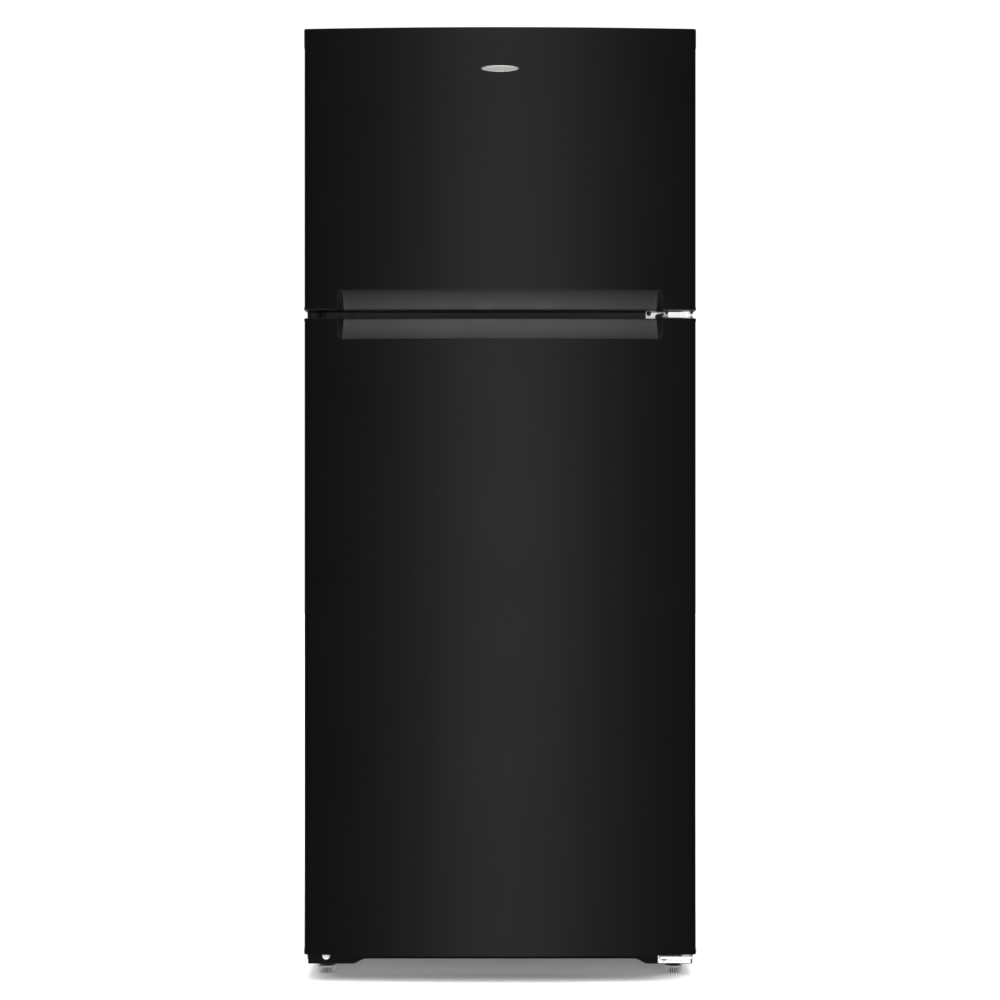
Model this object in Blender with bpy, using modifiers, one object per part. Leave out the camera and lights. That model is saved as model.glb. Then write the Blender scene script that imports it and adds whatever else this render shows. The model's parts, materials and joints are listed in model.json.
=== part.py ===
"""Top freezer refrigerator, 28-inch class, built as an assembly of separate pieces.

Metres, +Z up. The origin is on the floor under the middle of the refrigerator's box, the doors face -Y and
the hinges are on the +X side. Run with blender --background --python part.py, or from the text editor.
"""

import math

import bmesh
import bpy
from mathutils import Matrix, Vector

# ---------------------------------------------------------------- driving dimensions
WIDTH = 0.700  # over the plastic end caps of the doors
HEIGHT = 1.7005  # floor to the top of the freezer door
DEPTH = 0.7524  # badge on the crown of the doors to the rear panel
BADGE_RAISED = 0.0012
BODY_WIDTH = 0.698  # steel cabinet and door skins
BOW = 0.018  # how far the middle of a door stands in front of its sides
DOOR_SIDE = 0.058  # door thickness at its sides, skin only
SEAL_GAP = 0.010  # door skin to cabinet front, filled by liner flange and gasket

SHEET = 0.001  # painted steel sheet
PLASTIC = 0.002  # thermoformed liners
FIT = 0.0003  # gap kept between touching pieces
POINT_MERGE = 1e-6
SHARP_ABOVE = math.radians(32)  # edges steeper than this are shaded sharp

Y_CROWN = BADGE_RAISED - DEPTH / 2
Y_EDGE = Y_CROWN + BOW
Y_DOOR_BACK = Y_EDGE + DOOR_SIDE
Y_CABINET = Y_DOOR_BACK + SEAL_GAP
Y_BACK = DEPTH / 2
Y_SHELL_END = Y_BACK - 0.0013

X_BODY = BODY_WIDTH / 2
X_CAP = WIDTH / 2
BOW_RADIUS = (X_BODY**2 + BOW**2) / (2 * BOW)

Z_CABINET_TOP = 1.680
Z_CABINET_BOTTOM = 0.0297
Z_LEG = 0.0206
Z_RAIL_TOP = 0.118
Z_FREEZER_BOTTOM = 1.1985
Z_FRIDGE_TOP = 1.1842
Z_FRIDGE_BOTTOM = 0.0495

FLANGE = 0.035  # front return of the cabinet's steel sides
TOP_FLANGE = 0.024
X_FLANGE = X_BODY - FLANGE

# hinge axis of both doors
PIN_X = 0.333
PIN_Y = -0.325
PIN_R = 0.005
PIN_HOLE_R = 0.0055

# recessed grips along the facing edges of the two doors
GRIP_HALF = 0.290
GRIP_CHEEK = 0.010  # sloped end of the scoop
GRIP_CORNER = 0.009
GRIP_STEP = 0.003  # how far the scoop starts behind the door's face
GRIP_SLOPES = math.tan(math.radians(16)), math.tan(math.radians(30))  # at the scoop's far and near ends
FREEZER_GRIP = 0.0350
FRIDGE_GRIP = 0.0385
GROOVE_FRONT, GROOVE_BACK = -0.338, -0.322  # finger groove behind the grip's lip
GROOVE_HALF = 0.262

Z_BADGE = 1.626

# storage compartments, inside their liners
FREEZER_HALF = 0.298
FREEZER_FLOOR, FREEZER_CEILING = 1.234, 1.630
FRIDGE_HALF = 0.303
FRIDGE_FLOOR, FRIDGE_CEILING = 0.124, 1.150
LINER_BACK = 0.312
HUMP_FRONT, HUMP_SLOPE_END, HUMP_TOP = 0.140, 0.165, 0.291
MACHINE_FRONT, MACHINE_TOP = 0.205, 0.231
MULLION_BOTTOM, MULLION_TOP = 1.166, 1.220

# tops of the shelves' ledges, and the bins of the doors
SHELF_FREEZER, SHELF_UPPER, SHELF_LOWER, CRISPER_COVER = 1.420, 0.850, 0.600, 0.335
SHELF_GLASS = 0.004
CRISPER_FRONT, CRISPER_BACK = -0.140, 0.132
FREEZER_BINS = (("lower", 1.270), ("upper", 1.436))  # name and floor of each
DAIRY_LOW, DAIRY_HIGH, DAIRY_FRONT = 0.950, 1.050, -0.215
DAIRY_PIVOT = (0.0, DAIRY_FRONT - 0.0080, DAIRY_HIGH + 0.0080)

KNOB = (0.075, -0.2150, 1.128)
EVAPORATOR_FAN = (0.0, 0.2780, 1.550)
CONDENSER_FAN = (0.0, 0.290, 0.125)
COMPRESSOR = (-0.190, 0.290)

HINGE_PLATE = 0.004
SLOT_TURN = math.radians(33)

FOOT_X, FOOT_Y, FOOT_R = 0.3147, -0.259, 0.0165
ROLLER_X, ROLLER_Y, ROLLER_R = 0.318, 0.290, 0.014

COLORS = {  # name: (red, green, blue, alpha, roughness, metallic)
    "black_steel": (0.012, 0.012, 0.013, 1.0, 0.35, 0.0),
    "black_plastic": (0.010, 0.010, 0.010, 1.0, 0.45, 0.0),
    "zinc_plate": (0.80, 0.80, 0.78, 1.0, 0.28, 1.0),
    "white_liner": (0.86, 0.87, 0.88, 1.0, 0.35, 0.0),
    "grey_plastic": (0.55, 0.57, 0.58, 1.0, 0.45, 0.0),
    "clear_plastic": (0.86, 0.90, 0.92, 0.35, 0.12, 0.0),
    "glass": (0.80, 0.90, 0.86, 0.35, 0.05, 0.0),
    "gasket_rubber": (0.03, 0.03, 0.03, 1.0, 0.6, 0.0),
    "foam": (0.80, 0.72, 0.45, 1.0, 0.9, 0.0),
    "copper_tube": (0.62, 0.33, 0.20, 1.0, 0.35, 1.0),
    "aluminium": (0.70, 0.71, 0.72, 1.0, 0.4, 1.0),
    "compressor_black": (0.02, 0.02, 0.02, 1.0, 0.5, 0.0),
    "galvanised": (0.50, 0.52, 0.53, 1.0, 0.45, 1.0),
    "lamp_white": (0.95, 0.95, 0.92, 1.0, 0.3, 0.0),
    "badge_silver": (0.72, 0.73, 0.74, 1.0, 0.3, 1.0),
}


# ---------------------------------------------------------------- scene helpers
def clear_scene():
    for obj in list(bpy.data.objects):
        bpy.data.objects.remove(obj)


def new_collection(name, hidden=False):
    collection = bpy.data.collections.new(name)
    bpy.context.scene.collection.children.link(collection)
    collection.hide_render = hidden
    return collection


clear_scene()
PARTS = new_collection("top_freezer_refrigerator")
HELPERS = new_collection("cutters", hidden=True)
MATERIALS = {}


def material(name):
    """The named Principled material, made once."""
    if name not in MATERIALS:
        red, green, blue, alpha, roughness, metallic = COLORS[name]
        made = bpy.data.materials.new(name)
        made.use_nodes = True
        shader = made.node_tree.nodes["Principled BSDF"]
        shader.inputs["Base Color"].default_value = (red, green, blue, 1.0)
        shader.inputs["Alpha"].default_value = alpha
        shader.inputs["Roughness"].default_value = roughness
        shader.inputs["Metallic"].default_value = metallic
        MATERIALS[name] = made
    return MATERIALS[name]


def place(obj, collection):
    for old in list(obj.users_collection):
        old.objects.unlink(obj)
    collection.objects.link(obj)
    return obj


def part(obj, name, finish):
    """Names a piece, gives it its material and puts it in the refrigerator's collection."""
    obj.name = name
    obj.data.name = name
    for face in obj.data.polygons:
        face.use_smooth = True
    obj.data.set_sharp_from_angle(angle=SHARP_ABOVE)
    obj.data.materials.clear()
    obj.data.materials.append(material(finish))
    return place(obj, PARTS)


def helper(obj):
    """Marks an object as a cutter or a shape that is joined into another."""
    obj.hide_render = True
    obj.display_type = "WIRE"
    return place(obj, HELPERS)


def box(low, high):
    """A box between two corners, with its scale applied."""
    low, high = Vector(low), Vector(high)
    bpy.ops.mesh.primitive_cube_add(size=1, location=(low + high) / 2)
    obj = bpy.context.object
    obj.scale = high - low
    bpy.ops.object.transform_apply(location=False, rotation=False, scale=True)
    return obj


AXIS_TURN = {"X": (0, math.pi / 2, 0), "Y": (math.pi / 2, 0, 0), "Z": (0, 0, 0)}


def cylinder(centre, radius, length, axis="Z", sides=24, top_radius=None):
    """A cylinder, or a cone if top_radius is given, along an axis."""
    bpy.ops.mesh.primitive_cone_add(
        vertices=sides,
        radius1=radius,
        radius2=radius if top_radius is None else top_radius,
        depth=length,
        location=centre,
        rotation=AXIS_TURN[axis],
    )
    return bpy.context.object


# world directions of an outline's own x, y and extrusion, for each plane
PLANES = {
    "XY": Matrix.Identity(3),
    "YZ": Matrix(((0, 0, 1), (1, 0, 0), (0, 1, 0))),
    "XZ": Matrix(((1, 0, 0), (0, 0, -1), (0, 1, 0))),
}
DEPTH_AXIS = {"XY": Vector((0, 0, 1)), "YZ": Vector((1, 0, 0)), "XZ": Vector((0, 1, 0))}


def welded_mesh(obj):
    """Turns a curve object into a mesh object with its caps welded."""
    graph = bpy.context.evaluated_depsgraph_get()
    mesh = bpy.data.meshes.new_from_object(obj.evaluated_get(graph))
    work = bmesh.new()
    work.from_mesh(mesh)
    bmesh.ops.remove_doubles(work, verts=work.verts, dist=POINT_MERGE)
    bmesh.ops.recalc_face_normals(work, faces=work.faces)
    work.to_mesh(mesh)
    work.free()
    made = bpy.data.objects.new(obj.name, mesh)
    made.matrix_world = obj.matrix_world
    bpy.context.scene.collection.objects.link(made)
    bpy.data.objects.remove(obj)
    return made


def prism(points, low, high, plane="XY"):
    """An outline in a plane, filled and extruded from low to high along the third axis."""
    curve = bpy.data.curves.new("outline", "CURVE")
    curve.dimensions = "2D"
    curve.fill_mode = "BOTH"
    curve.extrude = (high - low) / 2
    spline = curve.splines.new("POLY")
    spline.points.add(len(points) - 1)
    for target, (u, v) in zip(spline.points, points):
        target.co = (u, v, 0, 1)
    spline.use_cyclic_u = True
    obj = bpy.data.objects.new("outline", curve)
    bpy.context.scene.collection.objects.link(obj)
    turn = PLANES[plane].to_4x4()
    obj.matrix_world = Matrix.Translation(DEPTH_AXIS[plane] * (low + high) / 2) @ turn
    bpy.context.view_layer.update()
    return welded_mesh(obj)


def tube(points, radius, resolution=2):
    """A tube along points, with closed ends."""
    curve = bpy.data.curves.new("tube", "CURVE")
    curve.dimensions = "3D"
    curve.bevel_depth = radius
    curve.bevel_resolution = resolution
    curve.use_fill_caps = True
    spline = curve.splines.new("POLY")
    spline.points.add(len(points) - 1)
    for target, point in zip(spline.points, points):
        target.co = (*point, 1)
    obj = bpy.data.objects.new("tube", curve)
    bpy.context.scene.collection.objects.link(obj)
    bpy.context.view_layer.update()
    return welded_mesh(obj)


def turned(profile, centre, axis="Z", steps=24):
    """A closed shape turned about an axis. The profile's (radius, height) points start and end on the axis and run
    down its outer side."""
    mesh = bpy.data.meshes.new("turned")
    points = [(radius, 0, height) for radius, height in profile]
    mesh.from_pydata(points, [(i, i + 1) for i in range(len(points) - 1)], [])
    obj = bpy.data.objects.new("turned", mesh)
    bpy.context.scene.collection.objects.link(obj)
    obj.location = centre
    obj.rotation_euler = AXIS_TURN[axis]
    screw = obj.modifiers.new("Screw", "SCREW")
    screw.steps = screw.render_steps = steps
    screw.use_merge_vertices = True
    screw.merge_threshold = 0.00001
    return obj


def ring_section(profile, centre, axis="Z", steps=24):
    """A ring turned about an axis from a closed (radius, height) section, listed down its outer side first."""
    return turned(profile + profile[:1], centre, axis, steps)


def boolean(obj, other, operation):
    modifier = obj.modifiers.new(operation.title(), "BOOLEAN")
    modifier.operation = operation
    modifier.solver = "EXACT"
    modifier.object = helper(other)
    return obj


def cut(obj, *cutters):
    for cutter in cutters:
        boolean(obj, cutter, "DIFFERENCE")
    return obj


def join(obj, *others):
    for other in others:
        boolean(obj, other, "UNION")
    return obj


def rounded(obj, width, segments=2, angle=40):
    bevel = obj.modifiers.new("Bevel", "BEVEL")
    bevel.width = width
    bevel.segments = segments
    bevel.limit_method = "ANGLE"
    bevel.angle_limit = math.radians(angle)
    return obj


def arc(centre, radius, start, end, steps):
    """Points of an arc, in degrees, counter-clockwise if end is above start."""
    return [
        (
            centre[0] + radius * math.cos(math.radians(start + (end - start) * i / steps)),
            centre[1] + radius * math.sin(math.radians(start + (end - start) * i / steps)),
        )
        for i in range(steps + 1)
    ]


def carry(pivot, *objects):
    """Parents pieces to an empty on their joint's axis and leaves them where they are."""
    empty = bpy.data.objects.new(pivot[0], None)
    PARTS.objects.link(empty)
    empty.location = pivot[1]
    bpy.context.view_layer.update()
    for obj in objects:
        obj.parent = empty
        obj.matrix_parent_inverse = empty.matrix_world.inverted()


def open_tray(low, high, wall, radius, open_face="top"):
    """A thin-walled tray: a box without one face, its upright edges rounded, thickened inwards."""
    obj = box(low, high)
    axis, sign = {"top": (2, 1), "back": (1, 1), "front": (1, -1)}[open_face]
    work = bmesh.new()
    work.from_mesh(obj.data)
    lid = [face for face in work.faces if face.normal[axis] * sign > 0.9]
    bmesh.ops.delete(work, geom=lid, context="FACES_ONLY")
    inner = [edge for edge in work.edges if len(edge.link_faces) == 2]
    bmesh.ops.bevel(work, geom=inner, offset=radius, segments=2, profile=0.5, affect="EDGES")
    work.to_mesh(obj.data)
    work.free()
    solidify = obj.modifiers.new("Solidify", "SOLIDIFY")
    solidify.thickness = wall
    solidify.offset = -1
    solidify.use_even_offset = True
    return obj


# ---------------------------------------------------------------- door outlines
def bow_y(x):
    """Where the front surface of a door is at x."""
    return Y_CROWN + BOW_RADIUS - math.sqrt(BOW_RADIUS**2 - x**2)


def door_path(inset=0.0, y_back=Y_DOOR_BACK, steps=24, corner=0.005):
    """A door's plan from its left rear corner round the bowed front to its right rear corner."""
    half = X_BODY - inset
    radius = max(corner - inset, 0.001)
    y_corner = bow_y(half - radius) + inset + radius
    left = arc((-half + radius, y_corner), radius, 180, 267, 3)
    front = [
        (x, bow_y(x) + inset)
        for x in ((half - radius) * (2 * i / steps - 1) for i in range(1, steps))
    ]
    right = arc((half - radius, y_corner), radius, 273, 360, 3)
    return [(-half, y_back), *left, *front, *right, (half, y_back)]


def door_skin(low, high):
    """Steel wrapped round the front and sides of a door."""
    outer = door_path()
    inner = door_path(SHEET)
    return prism(outer + inner[::-1], low, high)


def grip_outline(half, low, high, corner, rounded_top):
    """A pocket's outline seen from the front, with two rounded corners away from the door's edge."""
    if rounded_top:
        return [
            (-half, low),
            (half, low),
            *arc((half - corner, high - corner), corner, 0, 90, 4),
            *arc((-half + corner, high - corner), corner, 90, 180, 4),
        ]
    return [
        (half, high),
        (-half, high),
        *arc((-half + corner, low + corner), corner, 180, 270, 4),
        *arc((half - corner, low + corner), corner, 270, 360, 4),
    ]


def bowed_bar(profile, stations):
    """Sweeps a (depth, height) profile along the bow. Each station is (x, how much of the depth it has)."""
    work = bmesh.new()
    x, share = stations[0]
    ring = [work.verts.new((x, bow_y(x) + depth * share, z)) for depth, z in profile]
    edges = [work.edges.new((ring[i - 1], ring[i])) for i in range(len(ring))]
    for next_x, next_share in stations[1:]:
        made = bmesh.ops.extrude_edge_only(work, edges=edges)["geom"]
        edges = [item for item in made if isinstance(item, bmesh.types.BMEdge) and item.is_boundary]
        for vert in (item for item in made if isinstance(item, bmesh.types.BMVert)):
            depth = (vert.co.y - bow_y(x)) / share
            vert.co.x, vert.co.y = next_x, bow_y(next_x) + depth * next_share
        edges = [edge for edge in edges if all(abs(v.co.x - next_x) < POINT_MERGE for v in edge.verts)]
        x, share = next_x, next_share
    bmesh.ops.holes_fill(work, edges=work.edges)
    bmesh.ops.recalc_face_normals(work, faces=work.faces)
    mesh = bpy.data.meshes.new("bowed_bar")
    work.to_mesh(mesh)
    work.free()
    obj = bpy.data.objects.new("bowed_bar", mesh)
    bpy.context.scene.collection.objects.link(obj)
    return obj


def scoop_cutter(edge_z, away, height):
    """What a grip's scoop removes: a curved slope from the door's face back to its edge. away is +1 where the grip
    rises from the door's lower edge, and -1 where it hangs from the upper edge."""
    lip, ahead, steps = 0.0015, 0.020, 6
    half = (height - 2 * lip) / 2
    start = Vector((GRIP_STEP, height - lip))
    control = start + Vector((GRIP_SLOPES[0] * half, -half))
    end = control + Vector((GRIP_SLOPES[1] * half, -half))
    profile = [(-ahead, height - lip)]
    for t in (i / steps for i in range(steps + 1)):
        point = start * (1 - t) ** 2 + control * 2 * t * (1 - t) + end * t**2
        profile.append((point.x, point.y))
    profile += [(end.x, -ahead), (-ahead, -ahead)]
    inner = GRIP_HALF - GRIP_CHEEK
    outer = GRIP_HALF - 0.001
    count = 12
    stations = [(-outer, 0.04)]
    stations += [(inner * (2 * i / count - 1), 1.0) for i in range(count + 1)]
    stations += [(outer, 0.04)]
    return bowed_bar([(d, edge_z + away * z) for d, z in profile], stations)


def span(edge_z, away, near, far):
    """The two heights at distances near and far from an edge, lower one first."""
    return sorted((edge_z + away * near, edge_z + away * far))


def end_cap(edge_z, away, ear, plug=0.016):
    """A door's plastic end cap: a plug inside the skin, with ears that show 1 mm proud of the door's sides."""
    cap = prism(door_path(SHEET + FIT), *span(edge_z, away, 0, plug))
    low, high = span(edge_z, away, 0, ear)
    return join(cap, box((-X_CAP, Y_EDGE + 0.0065, low), (X_CAP, Y_DOOR_BACK, high)))


def pin_hole(low, high):
    return cylinder((PIN_X, PIN_Y, (low + high) / 2), PIN_HOLE_R, high - low, sides=24)


def handle_cap(edge_z, away, height):
    """An end cap with the door's recessed grip: a block behind the notch in the skin, scooped in front and grooved
    behind the lip for the fingers."""
    cap = end_cap(edge_z, away, ear=0.006)
    low, high = span(edge_z, away, 0, height - FIT)
    front = prism(door_path(0.0002, y_back=GROOVE_BACK + 0.004), low, high)
    outline = grip_outline(GRIP_HALF - FIT, low - 0.001, high, GRIP_CORNER, True)
    if away < 0:
        outline = grip_outline(GRIP_HALF - FIT, low, high + 0.001, GRIP_CORNER, False)
    boolean(front, prism(outline, -0.40, -0.30, "XZ"), "INTERSECT")
    join(cap, front)
    cut(cap, scoop_cutter(edge_z, away, height))
    groove = span(edge_z, away, -0.01, height - 0.017)
    cut(cap, box((-GROOVE_HALF, GROOVE_FRONT, groove[0]), (GROOVE_HALF, GROOVE_BACK, groove[1])))
    return cut(cap, pin_hole(*span(edge_z, away, -0.002, 0.018)))


def handle_notch(edge_z, away, height, back=-0.30):
    """What the grip's block needs removed from the skin."""
    if away > 0:
        outline = grip_outline(GRIP_HALF, edge_z - 0.01, edge_z + height, GRIP_CORNER, True)
    else:
        outline = grip_outline(GRIP_HALF, edge_z - height, edge_z + 0.01, GRIP_CORNER, False)
    return prism(outline, -0.40, back, "XZ")


def door_foam(low, high, edge_z, away, height):
    """Insulation that fills a door, with room for the grip's block."""
    core = prism(door_path(SHEET + FIT, y_back=Y_DOOR_BACK - FIT), low, high)
    room = span(edge_z, away, -0.01, height + FIT)
    half = GRIP_HALF + FIT
    return cut(core, box((-half, -0.40, room[0]), (half, GROOVE_BACK + 0.0045, room[1])))


def frame_ring(outer, inner, y_low, y_high):
    """A rectangular ring. outer and inner are (half width, bottom, top)."""
    ring = box((-outer[0], y_low, outer[1]), (outer[0], y_high, outer[2]))
    return cut(ring, box((-inner[0], y_low - 0.01, inner[1]), (inner[0], y_high + 0.01, inner[2])))


def door_liner(low, high, dike_low, dike_high):
    """White inner panel of a door: a flange under the gasket and a raised rim that carries the bins."""
    y_flange = Y_DOOR_BACK + 0.0028
    flange = box((-X_BODY + 0.005, Y_DOOR_BACK + FIT, low), (X_BODY - 0.005, y_flange, high))
    rim, wall = 0.286, 0.023
    outer = box((-rim, y_flange - 0.001, dike_low), (rim, y_flange + 0.044, dike_high))
    rounded(outer, 0.010, 2, 60)
    hollow = (rim - wall, dike_low + wall, dike_high - wall)
    inner = box((-hollow[0], y_flange, hollow[1]), (hollow[0], y_flange + 0.060, hollow[2]))
    return join(flange, cut(outer, inner))


def gasket(low, high):
    """Magnetic seal on a door's back, against the cabinet's front."""
    half, width = 0.3325, 0.014
    ring = frame_ring(
        (half, low, high),
        (half - width, low + width, high - width),
        Y_DOOR_BACK + 0.0031,
        Y_CABINET - FIT,
    )
    return rounded(ring, 0.0015, 1)


def door_bin(low, high, front_height):
    """A clear bin that hangs between the sides of a door's rim, lower in front."""
    y_low, y_high = Y_DOOR_BACK + 0.0035, -0.205
    tray = open_tray((-0.2605, y_low, low), (0.2605, y_high, high), 0.0025, 0.008)
    return cut(tray, box((-0.230, y_high - 0.02, low + front_height), (0.230, y_high + 0.02, high + 0.02)))


# ---------------------------------------------------------------- cabinet
def build_cabinet_shell():
    for side, sign in (("left", -1), ("right", 1)):
        inside = X_BODY - SHEET
        outline = [
            (sign * X_BODY, Y_SHELL_END),
            (sign * X_BODY, Y_CABINET),
            (sign * X_FLANGE, Y_CABINET),
            (sign * X_FLANGE, Y_CABINET + SHEET),
            (sign * inside, Y_CABINET + SHEET),
            (sign * inside, Y_SHELL_END),
        ]
        panel = prism(outline, Z_CABINET_BOTTOM, Z_CABINET_TOP)
        low, high = sorted((sign * (X_FLANGE - 0.01), sign * inside))
        cut(panel, box((low, Y_CABINET - 0.01, 0.0), (high, Y_CABINET + 0.002, Z_RAIL_TOP)))
        part(panel, f"side_panel_{side}", "black_steel")

    outline = [
        (Y_SHELL_END, Z_CABINET_TOP),
        (Y_CABINET, Z_CABINET_TOP),
        (Y_CABINET, Z_CABINET_TOP - TOP_FLANGE),
        (Y_CABINET + SHEET, Z_CABINET_TOP - TOP_FLANGE),
        (Y_CABINET + SHEET, Z_CABINET_TOP - SHEET),
        (Y_SHELL_END, Z_CABINET_TOP - SHEET),
    ]
    half = X_BODY - SHEET - FIT
    top = prism(outline, -half, half, "YZ")
    side_room = box((-0.4, Y_CABINET - 0.01, 1.60), (-X_FLANGE + FIT, Y_CABINET + 0.0013, 1.70))
    other_room = box((X_FLANGE - FIT, Y_CABINET - 0.01, 1.60), (0.4, Y_CABINET + 0.0013, 1.70))
    part(cut(top, side_room, other_room), "top_panel", "black_steel")

    rear = box((-X_BODY, Y_SHELL_END + FIT, MACHINE_TOP + 0.004), (X_BODY, Y_BACK, Z_CABINET_TOP))
    part(rear, "rear_panel", "galvanised")

    rail = box(
        (-X_FLANGE + FIT, Y_CABINET, MULLION_BOTTOM),
        (X_FLANGE - FIT, Y_CABINET + 0.0025, MULLION_TOP),
    )
    part(rail, "mullion_rail", "black_steel")


def build_base():
    """Front rail with its two leg corners, the pan and side rails under the cabinet."""
    half = X_BODY - SHEET - FIT
    slope_out, slope_in = 0.268, 0.243
    outline = [
        (-half, Z_RAIL_TOP - FIT),
        (-half, Z_LEG),
        (-slope_out, Z_LEG),
        (-slope_out + 0.006, Z_LEG + 0.001),
        (-slope_in - 0.006, Z_CABINET_BOTTOM - 0.001),
        (-slope_in, Z_CABINET_BOTTOM),
    ]
    outline += [(-x, z) for x, z in reversed(outline)]
    rail = prism(outline, Y_CABINET, Y_CABINET + 0.0025, "XZ")
    part(rail, "base_front_rail", "black_steel")

    floor, sheet, rail_top = Z_CABINET_BOTTOM, 0.002, 0.062
    half, y_front, y_back = 0.3455, -0.2855, Y_SHELL_END - 0.004
    pan = box((-half, y_front, floor), (half, y_back, floor + sheet))
    bulkhead = MACHINE_FRONT - 0.009
    walls = [box((-half + 0.001, bulkhead, floor + 0.001), (half - 0.001, bulkhead + sheet, rail_top))]
    for sign in (-1, 1):
        inner, outer = sorted((sign * (half - sheet), sign * half))
        walls.append(box((inner, y_front + 0.0005, floor + 0.001), (outer, MACHINE_FRONT, rail_top)))
        for ear in (-0.0095, 0.0095):
            x = sign * ROLLER_X + ear
            low, high = (x - 0.001, ROLLER_Y - 0.008, 0.008), (x + 0.001, ROLLER_Y + 0.008, floor + 0.001)
            walls.append(box(low, high))
        walls.append(cylinder((sign * ROLLER_X, ROLLER_Y, ROLLER_R), 0.003, 0.0195, "X", 12))
    join(pan, *walls)
    for sign in (-1, 1):
        cut(pan, cylinder((sign * FOOT_X, FOOT_Y, floor), 0.0056, 0.02, sides=16))
        low, high = sorted((sign * (ROLLER_X - 0.0085), sign * (ROLLER_X + 0.0085)))
        cut(pan, box((low, ROLLER_Y - 0.016, floor - 0.01), (high, ROLLER_Y + 0.016, floor + 0.01)))
    part(pan, "base_frame", "galvanised")


def build_insulation():
    """The foam block between the steel shell and the liners, open where the compartments are."""
    gap = PLASTIC + FIT
    block = box(
        (-X_BODY + SHEET + FIT, Y_CABINET + 0.003, 0.0630),
        (X_BODY - SHEET - FIT, Y_SHELL_END, Z_CABINET_TOP - SHEET - FIT),
    )
    freezer = box(
        (-FREEZER_HALF - gap, Y_CABINET - 0.01, FREEZER_FLOOR - gap),
        (FREEZER_HALF + gap, LINER_BACK + gap, FREEZER_CEILING + gap),
    )
    fridge_profile = [
        (Y_CABINET - 0.01, FRIDGE_FLOOR - gap),
        (HUMP_FRONT + gap, FRIDGE_FLOOR - gap),
        (HUMP_SLOPE_END + gap - 0.002, HUMP_TOP - gap - 0.0125),
        (HUMP_SLOPE_END + gap + 0.0125, HUMP_TOP - gap),
        (LINER_BACK + gap, HUMP_TOP - gap),
        (LINER_BACK + gap, FRIDGE_CEILING + gap),
        (Y_CABINET - 0.01, FRIDGE_CEILING + gap),
    ]
    fridge = prism(fridge_profile, -FRIDGE_HALF - gap, FRIDGE_HALF + gap, "YZ")
    machine = box((-0.4, MACHINE_FRONT, 0.0), (0.4, 0.4, MACHINE_TOP))
    part(cut(block, freezer, fridge, machine), "insulation_foam", "foam")


def compartment_liner(name, profile, half, flange_half, flange_low, flange_high, ledges):
    """A thermoformed liner. profile is the side view of the space inside, ledges the heights of the shelf ribs."""
    work = bmesh.new()
    side = work.faces.new([work.verts.new((-half, y, z)) for y, z in profile])
    made = bmesh.ops.extrude_face_region(work, geom=[side])["geom"]
    for vert in (item for item in made if isinstance(item, bmesh.types.BMVert)):
        vert.co.x = half
    bmesh.ops.recalc_face_normals(work, faces=work.faces)
    bmesh.ops.reverse_faces(work, faces=work.faces)
    front = [face for face in work.faces if abs(face.calc_center_median().y - Y_CABINET) < 0.001]
    bmesh.ops.delete(work, geom=front, context="FACES_ONLY")
    corners = [edge for edge in work.edges if len(edge.link_faces) == 2]
    bmesh.ops.bevel(work, geom=corners, offset=0.012, segments=2, profile=0.5, affect="EDGES")
    rim = [edge for edge in work.edges if len(edge.link_faces) == 1]
    made = bmesh.ops.extrude_edge_only(work, edges=rim)["geom"]
    low = min(z for _, z in profile)
    high = max(z for _, z in profile)
    middle = (low + high) / 2
    for vert in (item for item in made if isinstance(item, bmesh.types.BMVert)):
        vert.co.x *= flange_half / half
        above = vert.co.z > middle
        share = (vert.co.z - middle) / ((high if above else low) - middle)
        vert.co.z = middle + share * ((flange_high if above else flange_low) - middle)
    mesh = bpy.data.meshes.new(name)
    work.to_mesh(mesh)
    work.free()
    obj = bpy.data.objects.new(name, mesh)
    bpy.context.scene.collection.objects.link(obj)
    solidify = obj.modifiers.new("Solidify", "SOLIDIFY")
    solidify.thickness = PLASTIC
    solidify.offset = -1
    solidify.use_even_offset = True
    rib, depth = 0.008, 0.008
    for z in ledges:
        for sign in (-1, 1):
            inner, outer = sorted((sign * (half - depth), sign * (half + 0.001)))
            join(obj, box((inner, -0.180, z - rib), (outer, 0.240, z)))
    return part(obj, name, "white_liner")


def build_liners():
    y = Y_CABINET + 0.0005
    freezer = [
        (y, FREEZER_FLOOR),
        (LINER_BACK, FREEZER_FLOOR),
        (LINER_BACK, FREEZER_CEILING),
        (y, FREEZER_CEILING),
    ]
    top = Z_CABINET_TOP - TOP_FLANGE - FIT
    compartment_liner(
        "freezer_liner", freezer, FREEZER_HALF, X_FLANGE - FIT, MULLION_TOP + FIT, top, [SHELF_FREEZER]
    )
    fridge = [
        (y, FRIDGE_FLOOR),
        (HUMP_FRONT, FRIDGE_FLOOR),
        (HUMP_SLOPE_END, HUMP_TOP),
        (LINER_BACK, HUMP_TOP),
        (LINER_BACK, FRIDGE_CEILING),
        (y, FRIDGE_CEILING),
    ]
    compartment_liner(
        "fridge_liner",
        fridge,
        FRIDGE_HALF,
        X_FLANGE - FIT,
        Z_RAIL_TOP,
        MULLION_BOTTOM - FIT,
        [SHELF_UPPER, SHELF_LOWER, CRISPER_COVER],
    )


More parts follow.
